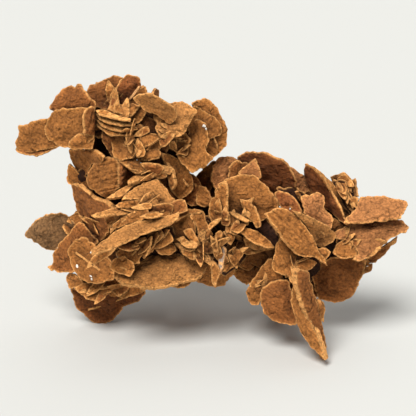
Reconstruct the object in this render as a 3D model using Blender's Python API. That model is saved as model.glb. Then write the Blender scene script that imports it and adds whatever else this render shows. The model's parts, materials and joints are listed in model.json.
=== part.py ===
"""Gypsum sand rose: a hand specimen of lens-shaped gypsum crystals that grew through one another in wet sand.

The crystals in view from the front are drawn on a flat sheet that stands square to one sight line, and each
outline is carried along the sight lines from the eye point to the plane of its own crystal. The crystals at
the back and in the heart of the mass radiate from a few growth centres. Crystals that overlap are one solid.
"""

import math
import random

import bmesh
import bpy
from mathutils import Euler, Matrix, Vector

# Driving dimensions, in metres and degrees.
SHEET_UNIT = 0.0005  # one division of the front sheet
SHEET_CENTRE = (208.0, 208.0)  # divisions right and down to the middle of the sheet
SHEET_POINT = Vector((-0.00282, -0.00641, 0.068))  # where the middle of the sheet stands
EYE_DISTANCE = 0.65  # from the sheet's middle to the eye point
EYE_ELEVATION = 20.0  # of the sight line over the floor
MILLIMETRE = 0.001
RIM_TOLERANCE = 1.4  # sheet divisions; a drawn rim point nearer than this to its neighbours' line is left out
ROSE_SEED = 7  # another number scatters the radiating crystals another way
ROSE_SIDES = 6  # points of a radiating crystal's rim
HEART_SHARE = 0.68  # a heart's radius as a share of its rosette's
FACET_SHARE = 0.767  # share of the facets left once the slivers between crystals are merged
FLOOR_BLOCK = (0.30, 0.20, 0.02)  # block whose top is the floor; it wears the three resting points flat

# Front crystals: depth behind the sheet's middle (mm), turn to the right and lean to the sky (degrees),
# thickness (mm), and the outline as right,down marks in sheet divisions.
# The tower's crown, left and top.
TOWER = {
    "tongue": (
        2.5, -15, 10, 2.2,
        "18,126 26,123 36,120 47,118 66,117 74,128 70,142 57,147 44,150 31,152 22,152 17,148 15,142 "
        "18.5,132",
    ),
    "tongue_under": (
        2.5, -12, 40, 1.8,
        "19,140 40,137 60,139 58,147 52,150 44,154.5 37,156.5 28,156 20,153.5 16.5,149",
    ),
    "shield": (
        -2, -12, 8, 2.2,
        "52,114 56,109.5 64,108 80,107.5 93,110 95,125 94,138 84,146 72,149 60,147 55,144 46,138 44,129 "
        "46,120",
    ),
    "shield_tab": (
        -5, 0, 5, 1.8,
        "68,148 69,142 76,134 80,133 86,134.5 94,137 94.5,143 93,149.5 82,149.5 72,150",
    ),
    "side_fold": (-6, 38, 0, 2, "84,115 88,108 93,106.5 95.3,110 95.5,124 95,137 90,136.5 84,134 83,125"),
    "rough_fan": (
        3, -18, 14, 2.4,
        "48.5,107 54,100 55,96 61,89 66,87 74,86 77,83.5 81,84.5 87,93 93,101 96,106 94,116 80,120 60,116 "
        "51,111",
    ),
    "top_middle": (
        8, -5, 22, 2.2,
        "86.5,89 90,84.5 97,83 106,78.5 112,76.5 117,76 123,79 128,90 124,104 108,110 95,107 88,96",
    ),
    "top_peak": (
        4, 14, 5, 2.2,
        "119,84 121,80 127,74.5 132,75.5 138,76 141,82 142,90 135,99 127,106 120,110 113,106 114,96",
    ),
    "peak_left": (0, -22, 32, 1.8, "112,97 115,90.5 118.5,92 117,98 116,103 113,107 108,109.5 110,103"),
    "peak_right": (
        -1, 36, 20, 2,
        "124,104 131,97 139,89.5 146,86 147.5,95 143,100 134,108 125,111.5 121,111",
    ),
    "seam": (-2, -10, 20, 1.4, "121,111 125,103 131,95 138.5,85.5 140.5,87 134,96 127.5,104 124,111"),
    "ledge_cap": (
        -5, 4, 52, 2.4,
        "107,109 110,106 116,104 124,104 134,102.5 138,104.5 143,103.5 137,110 131,116.5 122,114.5 "
        "114,112",
    ),
    "stack_1": (
        -8, -14, 55, 1.5,
        "95,110 101,109.3 107,110 114,113.5 122,116.5 131,117.8 130,121 118,119.5 108,117 99,114.5",
    ),
    "stack_2": (
        -7, -14, 50, 1.5,
        "95,112.5 100,115 108,118 118,121 130,122.3 137,121.5 133,126 120,126 108,123 98,118.5",
    ),
    "stack_3": (
        -6, -12, 46, 1.5,
        "95,118.5 100,120.5 108,124 120,127 132,127.5 130,131 120,131.5 110,129.5 101,126",
    ),
    "stack_4": (
        -5, -12, 42, 1.6,
        "95.5,122 101,124.5 110,127.5 118,130.5 128,131 128,134.5 118,135.5 111,136 105,132.5 96,126",
    ),
    "stack_5": (-3, -5, 30, 1.8, "128,104 143,104 147,112 143,120 138,124 130,121 122,117 124,110"),
    "arch": (
        -9, -6, -22, 2.4,
        "133,99 139,95.5 146,94 152,94.5 158,97 165,101.5 172,107 176,112 177,117 174,122 170,124 "
        "165,121.5 158,116 150,113 142,109",
    ),
    "arch_inner": (2, -12, -5, 2, "140,103 153,107 160,114 157,126 154,131 147,133 142,128 138,119"),
    "heart": (
        -4, 2, 36, 2.4,
        "153,111 160,106 171,103 183,102 188,103.5 196,110 196.5,112.5 190,122 187,128 184.5,133.5 "
        "178,136 166,139.5 161,137 155,127 153,117",
    ),
    "rear_disc": (
        8, 16, 12, 2.4,
        "192,103 196,100 200,98.5 205,98 213,102 219,110 225,121 228,129 226.5,137 227,143 224,149 "
        "219,154 213,158 200,156 190,140 188,118",
    ),
    "rear_step": (
        5.6, 16, 12, 2,
        "194,105 200,107.5 206,112 213,115 219,121 222,128 221,134 216,137 210,138.5 208,145 206,153 "
        "196,150 188,140 188,118",
    ),
    "bumpy_disc": (
        0, 6, 24, 2.4,
        "186,126 190,121 197,118 205,122 208,130 209,140 207,150 213,158 208,165 202,169 193,173.5 "
        "187,169 180,162 176,152 178,142",
    ),
}
# The clusters in the tower's neck and the saddle below it.
HEART = {
    "cluster_left": (
        -6, -25, 20, 2.2,
        "105,134.5 118,135 128,134 139,124 143,129 140,138 139,150 135,156 128,159 119,161.5 113,156 "
        "112,150 110,143",
    ),
    "cluster_dark": (-9, 22, 0, 1.8, "127,143 133,138 139.5,141 138.5,150 134,155.5 129,151"),
    "cluster_top": (
        -8, 0, 40, 2,
        "139,138 142,133 150,132 157,134 161,138 154,143 146,146.5 142,152 137,156.5",
    ),
    "cluster_mid": (-8, 6, 32, 2, "141,150 150,148.5 158,148 161.5,152 159,158 150,161 141,160"),
    "cluster_right": (-6, 14, 20, 1.8, "150,143.5 158,139 164,141 161.5,148 155,152 147,150"),
    "wedge_small": (-5, 0, -16, 1.8, "166,135 174,133 177.5,142 174,150 169.5,148"),
    "wedge_right": (-2, -14, 20, 2, "175,138 186,133 191,140 184,151 178,153 176.5,145"),
    "neck_plate": (
        -3, 24, 6, 2.4,
        "158,152 168,153.5 178,159 188,170 193,177 194,188 190,194 180,200 172,192 169,180 166,166",
    ),
    "neck_strip": (
        -7, -48, 8, 1.8,
        "160,160 166,161.5 172,170 174.5,184 172,190 168.5,184 167.5,173 162,166",
    ),
    "white_crumb": (-9, -4, 42, 2, "113,157 128,158 137,157 143,160 151,163 159,166 150,170 136,174 127,167"),
    "bar": (
        -11, -8, 58, 2.6,
        "127,181 133,176 142,172.5 152,170 162,168.5 169,168.5 169,171 160,172.5 148,176.5 136,181.5 "
        "128,184",
    ),
    "bar_shadow": (-9, -6, 12, 2, "128,183 145,176 160,172 168,172 166,178 158,180 146,184 134,188"),
    "saddle": (
        -16, 12, 36, 2.6,
        "122,200 125,193 133,187 146,181.5 158,178 163,184 168,190 173,197 178,207 178,215 172,211.5 "
        "163,210 156,206 146,203 134,199.5",
    ),
    "thorn_left": (-15, -20, 50, 1.8, "105,198.5 110,195 118,190 126,186 134,184.5 129,190 123,196 114,198"),
    "striped_disc": (
        -6, -24, 10, 2.4,
        "86,180 88,171 93,164.5 101,159.3 110,156 114,157 118,163 119,172 118,183 120,188 110,194 "
        "105.5,198.5 96,193 89,186",
    ),
    "striped_side": (-8, 30, 8, 1.8, "119,161.5 123.5,163 126.5,170 126,180 124,186 119,187 117.5,175"),
    "under_shield": (
        2, -42, -8, 2.2,
        "68,149 80,149 95,150 104,157 100,164 92,166 88,173 83,176 76,170 70,158",
    ),
    "left_mid": (
        5, -22, 6, 2.2,
        "69,163.5 76,169 81,174.5 88,177 92,190 92,199.5 81,199.5 75,194 70,187 67,181 67,172",
    ),
    "left_rim": (
        -1, -44, -14, 2.4,
        "71,184 80,187 92,197 106,203 114,210 108,218 109,232 102,238.5 97,242 88,229 80,219 76,208 "
        "72.5,194",
    ),
}
# The lower left: discs, laminae and the foot.
LEFT = {
    "low_disc": (
        14, -14, 6, 2.4,
        "25,235 29,227 30,224 40,217 46,214 57,213 66,215.5 74,222 77,227 72,233 64,242 54,251 47,249.5 "
        "35,243.5 28,238.5",
    ),
    "low_spur": (12, -10, 20, 1.8, "66,222 69,216 76,210.5 80,214 82,221 77,228"),
    "slant_plate": (
        4, -22, 15, 2.4,
        "78,221 84,225 92,234 98,242 90,253 80,263 74,272.5 60,273 52,271.5 47,267.5 52,264.5 53,256 "
        "56,248 66,236",
    ),
    "round_disc": (
        -6, -10, 15, 2.4,
        "67,252 70,245 76,238.5 84,237.5 94,243 101,251 108,257 114,265 114,279 104,283 90,283.5 80,280 "
        "74,271.5 70,262",
    ),
    "low_lamina": (
        -4, -4, 28, 2,
        "74,288 80,282.5 92,283.5 104,284 114,280 118,286 112,292 104,296 97,302 88,299.5 78,293.5",
    ),
    "low_notch": (2, -30, 2, 2, "65,278 68,273.5 74,274 82,281 84,285 78,287.5 69,288.5"),
    "foot_plate": (
        6.5, -4, -12, 2.6,
        "71,289 84,290 100,286 120,287 147,289 146,294 137,302 126,306 121,312 112,320.5 100,325 88,319.5 "
        "78,310 72.5,299",
    ),
    "foot_lamina": (-3, 0, 26, 2, "110,290 121,286 135,286 147,289.5 140,293.5 125,299 117,296"),
}
# The beak and the shelf over the arch.
NOSE = {
    "beak_upper": (
        -20, -8, 62, 2,
        "91,215 97,212.3 104,210.5 114,207.5 128,206.5 141,206.5 134,211 127,214.5 112,215.3 102,216.5 "
        "95,216.8",
    ),
    "beak_arch": (
        -25, -14, 20, 2.4,
        "110,234 109.5,228 113,222.5 119,218.5 127,214.5 135,209.5 143,205 148,209 150,215 141,221 "
        "127,225.5 117,229",
    ),
    "beak_shelf": (
        -19, -2, 32, 2,
        "115,205.5 119,202 125,200.3 133,199.5 142,200.5 149,204 142,206 130,208.5 118,208.5",
    ),
    "beak_wedge": (-17, -16, 0, 2, "103,217.5 111,216 121,215 117,220 112,225 109.5,229.5 105.5,223"),
    "lower_beak": (
        -31, -6, 46, 3.2,
        "90,250.5 95,246 104,239.5 114,231.5 124,226 138,221.5 154,219 170,215 179,211.5 178.5,217 "
        "170,225.5 156,230 143,235 130,241 115,248 101,252.5 92,254.5",
    ),
    "beak_sliver": (-28, -4, 50, 1.4, "118,246.5 127,243 137,239 145,236.5 147,239 138,243.5 128,246.5"),
    "beak_keel": (-31, -28, -8, 2, "86,269 88,263 93,256 101,252 116,248 111,255 102,260 94,265.5"),
    "shelf_small": (-28, 4, 58, 1.4, "139,216.3 147,213.5 154,212.3 164,213.3 160,216.3 150,218"),
    "shelf_inner": (-22, 4, 22, 1.8, "145,206 152,204 159,206.5 166,211 162,214 150,213"),
    "pleat_1": (-25, -52, 8, 2, "142,245 146,240 151,236 150,245 147.5,254 143,259 141,252"),
    "pleat_2": (-24, -46, 10, 2, "149,238 157,231.5 158.5,236 154.5,244 150,252 146.5,256 148,246"),
    "pleat_3": (-23, -36, 12, 2, "156,234 164,228.5 169,230 164,238 157,246 151,253 153,243"),
    "pleat_4": (-22, 10, 22, 2, "154,247 163,241 171,238 177,250 170,255 158,254"),
    "pitted_disc": (
        -25, 6, 6, 2.2,
        "115,252 124,246 134,244 144,240.5 146.5,247 145,254 139,264 131,265.5 124,262 117,258",
    ),
    "lobe_small": (
        -27, -8, 18, 2,
        "109,266 112,260.5 117,257 124,255 133,262 134,270 129,276.5 118,273.5 111,270",
    ),
    "broad_shelf": (
        -22, 2, 42, 3,
        "114,276.5 122,270 130,265.5 140,260.5 152,255 166,252 180,254 194,260.5 208.5,262 208,267 "
        "202,276.5 190,281 172,285.5 152,289 139,287 123,285",
    ),
    "broad_lip": (-22.5, 6, 26, 2.2, "168,273 182,272 196,272 193,280 190,284.5 184,288 178,289 171,285"),
}
# The small rosette of petals right of the shelf.
ROSETTE = {
    "left_petal": (
        -17, -20, 16, 2.2,
        "170,236 171,228 175,221.5 181,217 189,213.5 194,222 196,233 190,241 181,245 174,243",
    ),
    "lip_top": (-16, 2, 60, 2, "179,209 187,208.3 195,208.3 203,210.5 201,213 189,213.5 182,217.5 176,221"),
    "facet_top": (-18, 10, 22, 2, "189,214 203,212 207,220 210,228 206,237 201,243 198,234 194,224"),
    "petal_mid": (-23, -10, 26, 2, "183,231 187,228.5 192,228.5 196,235 199.5,242 197,246 190,242"),
    "petal_low": (-23, -26, 36, 1.8, "175.5,239 180,236.5 184,235.5 189,241 193,246 187,246.5 181,243.5"),
    "petal_rim": (-22, -6, 48, 1.6, "173.5,243 179,242.5 185,246 196,249 190,251 181,249"),
    "petal_base": (-23, 2, 22, 2, "180,250 188,249 196,249.5 204,253 209,259 201,261 190,259.5 183,255"),
    "facet_right": (-21, 20, 6, 2, "202,243 207,240 211.5,244 212.5,250 216,254 212,260 206,258 202.5,251"),
    "facet_up": (-19, 12, 16, 1.8, "204,232 210,227 213,234 211,243 204,244"),
    "petal_tall": (-25, -30, 12, 1.8, "215.5,233 219,230.5 221.5,235 220.5,243 217,253 213,251 213,244"),
    "petal_far": (-21, 22, 14, 1.8, "223,232 228,230.5 233,232.5 235,236.5 234,240.5 231,245.5 228,243"),
    "grey_column": (
        -25, -24, 10, 2,
        "217.5,249 222,245.5 225.5,250 225.5,257 223,266 220.5,274 217.5,266 218.5,257",
    ),
    "needle": (-26, -20, 4, 1.8, "209.5,261 213.5,261.5 218,266 220.5,272 218,280 215,289 211.8,282 211,272"),
    "right_petal": (
        -22, 22, 12, 2.2,
        "224.5,258 228,253 234,248.5 241,249.5 243.5,253 240,260 235,267 227,272.5 222.5,271",
    ),
    "mid_leaf": (-15, 8, 20, 2, "233,243 241,240 248,245 254,249 266,250 258,253.5 247,255 237,250"),
    "low_brown": (-6, 8, 0, 2.2, "238,266 241,257 244,253 257,252 259,258 256,265 250,271 244,270"),
    "low_brown_b": (-3, 16, -6, 2, "248,272 256,264 259,255 264,259 262,268 255,276"),
    "low_dark": (
        -9, -4, -10, 2.4,
        "190,280 194,266 203,254 220,252 232,260 235,271 231,278 224,285.5 214,287 204,285",
    ),
    "low_dark_b": (-4, 6, -4, 2.2, "232,274 240,266 252,268 264,260 264,270 256,279 247,286 240,281"),
}
# The dome and the beams that cross before it.
DOME = {
    "tall_plate": (
        -17, -38, 10, 2.2,
        "209,202 214,196 218,188 222,182 226,181 227.5,192 228.3,208 228,221.5 222,218.5 212,223 208,215",
    ),
    "dome": (
        -12, 0, 12, 2.6,
        "215,194 219,184.5 225,180 233,176.5 241,174.5 255,175 260,181 269,188 276,199 279,205 275,213 "
        "264,221 252,223 236,215 222,208",
    ),
    "dome_beam": (-19, 4, 50, 1.8, "227,211 233,211.5 241,215 250,220 247,222.5 240,219.5 232,215.5"),
    "bent_blade": (
        -19, -28, 16, 2,
        "240,199.5 248,200 254,197 252,203 256,209 260,219 260,226 256,228 249,218 243,210",
    ),
    "cross_beam": (-23, -24, 40, 1.8, "210,222.5 215,219 222,217.5 218,222.5 209,230 207,226.5"),
    "fold_leaf": (
        -21, 16, 36, 2.2,
        "228,224 234,221 244,226 258,231.5 270,241 275,248 264,247 254,243.5 246,238 238,229.5",
    ),
    "fold_under": (-17, 10, 10, 1.8, "243,236 254,243 266,246.5 275,248.5 264,251.5 254,250 246,246.5"),
    "dome_back": (-8, 10, 4, 2, "228,196 248,190 264,200 276,204 278,222 262,232 244,228 230,214"),
}
# The upright discs behind the dome.
DISCS = {
    "pink_disc": (
        10, 14, 24, 2.2,
        "210,178 213,166 217,160 222,156.5 228,155.5 235,157 240,160 239,170 235,180 226,186 216,190",
    ),
    "pink_behind": (
        12, -14, 12, 2.2,
        "193,179 201,172 206,167 213,160 218,164 214,172 212,186 209,199 200,192 194,185",
    ),
    "step_low": (1, -6, 18, 2.2, "192,188 198,184 206,187 211,195 213,203 205,207 197,204"),
    "triangle": (
        0, -16, 10, 2.2,
        "238,173 241,169 246,165.5 251,161 255,158 258,164 260,171 261,178 250,180 241,177",
    ),
    "dark_disc": (
        7, -24, -12, 2.6,
        "237,158 241,154 246,152 252,151.5 265,153.5 278,158 283,160.5 288,165 293,173 296,182 296,190 "
        "292,199 278,200 260,190 248,180",
    ),
    "light_fin": (
        10, 30, 20, 2.2,
        "284,161.5 288,165.5 294,168.5 304,175 308,183 311,188 310,192 300,194 292,190 286,176",
    ),
    "orange_chip": (-4, 30, -6, 1.6, "295.5,192.5 299,191 304,199 303.5,203.5 299,200.5"),
    "red_leaf": (
        -7, -10, 15, 2.2,
        "274,193 278,190.5 288,193 294,197 299,203 302,210 303,217 292,214 281,208 276,200",
    ),
    "map_leaf": (
        -9, 10, 24, 2.4,
        "301,197 304,194.5 310,194 317,192 322,193.5 326,198 324,204 324,209 333,215.5 332,229 322,228 "
        "312,222 303,213",
    ),
    "edge_chip": (-3, 20, 10, 2, "330,217.5 336,218.5 344,226 344,229 336,233.5 329,231"),
}
# The right arm: blades, stacks, wings and the plate under them.
ARM = {
    "dark_blade": (
        2, -48, -8, 2.4,
        "304,172 305,164 313,168 321,174 328,187 333,196 338,204 343,213 347,225 339,220 331,212 322,207 "
        "314,194 306,184",
    ),
    "light_blade": (
        -1, 40, 10, 2.4,
        "306,164 314,166.5 321,172 331,181 337,189 341,198 347,211 351,221 350,227 346,225 340,210 "
        "333,196 324,180 315,170",
    ),
    "stack_back": (
        7, 0, 12, 2.2,
        "329,176.5 337,174.3 345,175.5 350,178.8 354,180 355,189 358,198 351,204 342,192 334,184",
    ),
    "stack_a": (1, -40, 20, 1.8, "332,178.5 337,180.5 342,187 347,193 350,200 345,198.5 339,190"),
    "stack_b": (2, -44, 14, 1.6, "341,183.5 345,185.5 349,192 353,199 348,197.5 344,191"),
    "stack_c": (0, -40, 20, 1.8, "341,195.5 347,198 351,203.5 355,210 352,213 346,206"),
    "stack_d": (3, -35, 12, 1.8, "346,186 351,180 355,177.5 356.5,181 356,188 358.5,197 351,196"),
    "stack_e": (-2, -6, 28, 1.8, "349,198 354,195.5 359,198 357.5,203.5 353,209 349.5,204"),
    "upper_wing": (
        -3, 8, 42, 3,
        "344,223 350,214 355,208 360,197.5 368,195.5 382,195 392,198 404,200 409,204 406,209 402,215 "
        "401,219 388,220 370,223",
    ),
    "lower_wing": (
        -8, 8, 38, 3.2,
        "330,236 338,230 346,226.5 362,222 380,220 402,219.5 410,227 406,231.5 398,234.5 390,240 380,248 "
        "370,257 358,261.5 352,260 358,253 351,243",
    ),
    "wing_chips": (
        -2, 16, 4, 2.6,
        "364,261 374,253 386,245 398,236 397,243 390,248 384,255.5 378.5,260 376,263.5 367,262.5",
    ),
    "wing_crumb": (-5, 10, 10, 2, "360,263 367,260 373,264 372,271 368,273 363,275 362,269"),
    "small_round": (
        -12, 4, 34, 2.4,
        "332,252.5 338,243 346,238 351,242 354,247 362,251.5 356,255.5 350,258.5 340,259",
    ),
    "brown_plate": (
        -4, -10, 0, 2.6,
        "311,272 317,265 328,259 345,257 362,259 366,261 364,269 359,284 352,297 344,301 334,302.5 "
        "320,299.5 314,290",
    ),
}
# The right leg: the striated plate, lobes and the spike.
LEG = {
    "striated_plate": (
        -28, 14, 20, 2.6,
        "265,213.5 271,211.3 280,207.5 288,209.5 300,217 308,227 315,241 318,248 324,256 328,266 320,261 "
        "312,257 298,256 288,246 279,236 270,221",
    ),
    "orange_rim": (
        -21, 26, -8, 2.2,
        "292,210.5 302,213 311,217 328,226 337,235 333,242 322,248 315,244 308,228 298,217",
    ),
    "leg_facet": (-24, 0, 20, 2, "311,252 318,248 326,247.5 331,252 327,258.5 323,262 316,257"),
    "ragged_lobe": (
        -23, -14, 15, 2.4,
        "276,243 280,236 289,246 297,255 298,262 296,271 292,284 288,277 283,276 277,273.5 271.5,268 "
        "272,260",
    ),
    "leg_chip": (-27, 6, 12, 2, "296,261 305,259 313,260 317.5,263 312,268.5 304,272 297,268"),
    "lobe_upper": (
        -18, -20, 0, 2.4,
        "245,292 249,285 254,276 261,267 271,258.5 276,268 284,278 284,288 272,295 262,298 259,305.5 "
        "250,305",
    ),
    "lobe_lower": (
        -24, -8, 6, 2.4,
        "260,290 270,283 279,279 286,279 291,287 293,305 297,320 295,325 284,325 271,321 264,314 261,303",
    ),
    "spike_left": (
        -35, -34, 0, 3.4,
        "292,290 294,281 299,284 305,305 313,326 321,344 325.5,361 318,354 309,345 300,332 294,314 "
        "290.5,301",
    ),
    "spike_right": (
        -35, 34, 4, 3.6,
        "295,272 303,269 309,272 313,287 319,306 323,328 326.5,346 326.5,358 325,361.5 317,342 308,318 "
        "300,298",
    ),
    "spike_chip": (-32, 20, 4, 1.8, "315,303 319,299.5 324,302.5 325.5,310 324,317 324,323 319,319 316,308"),
}
# Plates deep in the gaps between the front crystals.
RECESS = {
    "recess_top": (10, 4, 6, 3, "94,104 102,92 116,85 130,86 140,95 142,112 124,120 100,118"),
    "recess_tower": (
        11, 0, 0, 3,
        "84,134 118,132 140,142 168,140 184,148 186,166 164,168 140,164 114,168 86,164",
    ),
    "recess_left": (6, -10, -6, 3, "77,172 98,160 118,170 124,204 126,232 110,242 92,228 81,212"),
    "recess_low": (
        2, 4, 0, 3,
        "160,232 186,222 214,214 240,218 256,232 256,250 246,268 222,274 196,270 172,262 158,248",
    ),
    "recess_mid": (5, 6, 0, 3, "146,196 176,188 196,192 214,204 208,226 180,228 154,216"),
    "recess_dome": (-3, 4, 0, 3, "260,214 278,206 296,214 306,232 298,248 274,248 260,236"),
    "recess_arm": (
        7, 4, -8, 3,
        "312,204 330,204 346,216 356,234 353,250 344,264 328,268 312,262 303,246 302,222",
    ),
    "recess_leg": (-2, 0, -6, 3, "262,226 290,234 316,250 322,268 310,284 294,294 280,288 266,270 260,250"),
    "recess_neck": (4, -10, 0, 2.6, "276,188 292,186 304,192 308,204 300,214 284,210"),
    "recess_wing": (0, 10, 10, 2.6, "336,232 352,226 368,236 366,252 352,264 338,256"),
}
# The blade at the back that the specimen also rests on.
HIND = {
    "hind_blade": (22, 8, -6, 3, "266,258 290,256 293,284 291,304 284,319 275,314 267,300 264,280"),
    "hind_blade_side": (18, -52, -4, 3, "262,262 288,258 292,280 288,300 280,312 270,300"),
}
DRAWN_GROUPS = (TOWER, HEART, LEFT, NOSE, ROSETTE, DOME, DISCS, ARM, LEG, RECESS, HIND)

# Crystals that another crosses behind, and how far back that keel reaches (mm).
KEELS = {
    "edge_chip": 7, "stack_2": 15, "arch": 10, "heart": 15, "neck_plate": 8, "upper_wing": 10,
    "lower_wing": 14, "lobe_upper": 14, "lobe_lower": 15, "low_brown": 8, "pink_behind": 7, "rear_disc": 8,
    "pitted_disc": 18, "lobe_small": 12, "arch_inner": 12, "beak_arch": 23, "lower_beak": 25,
    "right_petal": 20, "dome_back": 12, "tall_plate": 27, "stack_3": 8, "low_lamina": 15, "red_leaf": 14,
    "stack_a": 8, "striated_plate": 27, "orange_rim": 26, "spike_right": 24, "wedge_small": 20,
    "round_disc": 9, "foot_lamina": 9, "beak_wedge": 9, "beak_sliver": 20, "shelf_inner": 11,
    "petal_mid": 7, "petal_low": 7, "petal_tall": 23, "petal_far": 20, "mid_leaf": 17, "dome_beam": 23,
    "cross_beam": 11, "fold_leaf": 23, "fold_under": 11, "triangle": 13, "foot_plate": 9, "pleat_2": 17,
    "stack_4": 9, "low_dark": 15, "stack_d": 8, "pleat_3": 14, "bent_blade": 12, "orange_chip": 9,
    "leg_facet": 20, "leg_chip": 20, "ragged_lobe": 13, "broad_lip": 7, "top_peak": 16, "top_middle": 9,
    "peak_left": 15, "shield": 16, "stack_5": 10, "shelf_small": 8, "broad_shelf": 18,
}

# Growth centres: right and down on the sheet, depth (mm), radius (mm) and number of crystals.
ROSES = {
    "tower_left": (90, 122, 14, 15, 4),
    "tower_mid": (126, 120, 17, 20, 5),
    "tower_right": (190, 136, 15, 19, 5),
    "tower_back": (148, 118, 34, 18, 4),
    "shoulder": (118, 178, 13, 21, 5),
    "heart": (158, 184, 13, 21, 5),
    "back_mid": (140, 190, 36, 22, 4),
    "flank": (102, 242, 13, 20, 4),
    "belly_left": (140, 246, 2, 23, 5),
    "belly_right": (202, 238, 4, 20, 5),
    "back_low": (180, 222, 32, 22, 4),
    "crest": (252, 208, 10, 18, 5),
    "saddle_back": (236, 240, 12, 17, 4),
    "back_right": (262, 196, 28, 17, 4),
    "neck": (305, 212, 12, 15, 4),
    "arm": (352, 224, 8, 15, 4),
    "leg": (284, 258, -6, 15, 5),
    "thigh": (292, 284, -16, 10, 2),
    "hind": (278, 261, 9, 13, 2),
    "foot": (112, 280, 12, 17, 4),
}


def clear_scene():
    """Removes every object."""
    for old in list(bpy.data.objects):
        bpy.data.objects.remove(old, do_unlink=True)


def collection(name, hidden):
    """A new collection of the scene."""
    made = bpy.data.collections.new(name)
    bpy.context.scene.collection.children.link(made)
    made.hide_render = hidden
    return made


def sight_axes():
    """The sheet's right and up directions, and the eye point."""
    elevation = math.radians(EYE_ELEVATION)
    up = Vector((0.0, math.sin(elevation), math.cos(elevation)))
    back = Vector((0.0, -math.cos(elevation), math.sin(elevation)))
    return Vector((1.0, 0.0, 0.0)), up, SHEET_POINT + back * EYE_DISTANCE


def sheet_place(u, v):
    """The point in space of a place on the front sheet."""
    right, up, _ = sight_axes()
    across = (u - SHEET_CENTRE[0]) * SHEET_UNIT
    rise = (SHEET_CENTRE[1] - v) * SHEET_UNIT
    return SHEET_POINT + right * across + up * rise


def at_depth(u, v, depth):
    """Where the sight line through (u, v) meets the upright plane at a depth behind the sheet's middle."""
    eye = sight_axes()[2]
    ray = sheet_place(u, v) - eye
    return eye + ray * ((SHEET_POINT.y + depth - eye.y) / ray.y)


def face_normal(turn, lean):
    """The direction a crystal's face looks in."""
    turn = math.radians(turn)
    lean = math.radians(lean)
    return Vector((math.sin(turn) * math.cos(lean), -math.cos(turn) * math.cos(lean), math.sin(lean)))


def thinned(marks):
    """Leaves out the marks that lie within the rim tolerance of the line between their neighbours."""
    kept = list(marks)
    index = 0
    while index < len(kept) and len(kept) > 5:
        before, here, after = (Vector(kept[(index + step) % len(kept)]) for step in (-1, 0, 1))
        line = (after - before).normalized()
        if abs(line.cross(here - before)) < RIM_TOLERANCE:
            kept.pop(index)
        index += 1
    return kept


def drawn_rim(depth, turn, lean, outline):
    """Carries a drawn outline to the crystal's plane. Returns the rim and the plane's normal."""
    marks = [tuple(float(part) for part in mark.split(",")) for mark in outline.split()]
    middle_u = sum(mark[0] for mark in marks) / len(marks)
    middle_v = sum(mark[1] for mark in marks) / len(marks)
    anchor = at_depth(middle_u, middle_v, depth * MILLIMETRE)
    normal = face_normal(turn, lean)
    eye = sight_axes()[2]
    rim = []
    for u, v in thinned(marks):
        ray = sheet_place(u, v) - eye
        rim.append(eye + ray * ((anchor - eye).dot(normal) / ray.dot(normal)))
    return rim, normal


def lens(name, rim, normal, thickness, into):
    """One crystal: its rim filled flat and extruded back to its thickness."""
    shape = bmesh.new()
    face = shape.faces.new([shape.verts.new(point) for point in rim])
    face.normal_update()
    if face.normal.dot(normal) < 0.0:
        face.normal_flip()
    made = bmesh.ops.extrude_face_region(shape, geom=[face])
    front = next(item for item in made["geom"] if isinstance(item, bmesh.types.BMFace))
    bmesh.ops.translate(shape, verts=front.verts[:], vec=normal * thickness)
    bmesh.ops.translate(shape, verts=shape.verts[:], vec=normal * -thickness)
    bmesh.ops.recalc_face_normals(shape, faces=shape.faces[:])
    mesh = bpy.data.meshes.new(name)
    shape.to_mesh(mesh)
    shape.free()
    made = bpy.data.objects.new(name, mesh)
    into.objects.link(made)
    return made


def block(name, size, into):
    """A box whose top face lies at height zero."""
    shape = bmesh.new()
    bmesh.ops.create_cube(shape, size=1.0, matrix=Matrix.Diagonal((*size, 1.0)))
    bmesh.ops.translate(shape, verts=shape.verts[:], vec=(0.0, 0.0, -size[2] / 2.0))
    mesh = bpy.data.meshes.new(name)
    shape.to_mesh(mesh)
    shape.free()
    made = bpy.data.objects.new(name, mesh)
    into.objects.link(made)
    return made


def lump(name, centre, radius, draw, into):
    """A blocky heart with twenty uneven facets."""
    shape = bmesh.new()
    tumble = Euler([draw.uniform(0.0, math.tau) for _ in range(3)]).to_matrix().to_4x4()
    place = Matrix.Translation(centre) @ tumble
    bmesh.ops.create_icosphere(shape, subdivisions=1, radius=radius, matrix=place)
    for vert in shape.verts:
        vert.co = centre + (vert.co - centre) * draw.uniform(0.8, 1.15)
    mesh = bpy.data.meshes.new(name)
    shape.to_mesh(mesh)
    shape.free()
    into.objects.link(bpy.data.objects.new(name, mesh))


def rose_rim(centre, outward, normal, length, width, lobes):
    """An oval rim with shallow lobes, its long axis along outward."""
    across = normal.cross(outward).normalized()
    rim = []
    for step in range(ROSE_SIDES):
        angle = math.tau * step / ROSE_SIDES
        reach = 1.0 + 0.07 * math.sin(3.0 * angle + lobes) + 0.05 * math.sin(2.0 * angle + 2.0 * lobes)
        along = outward * (length * reach * math.cos(angle))
        rim.append(centre + along + across * (width * reach * math.sin(angle)))
    return rim


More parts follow.
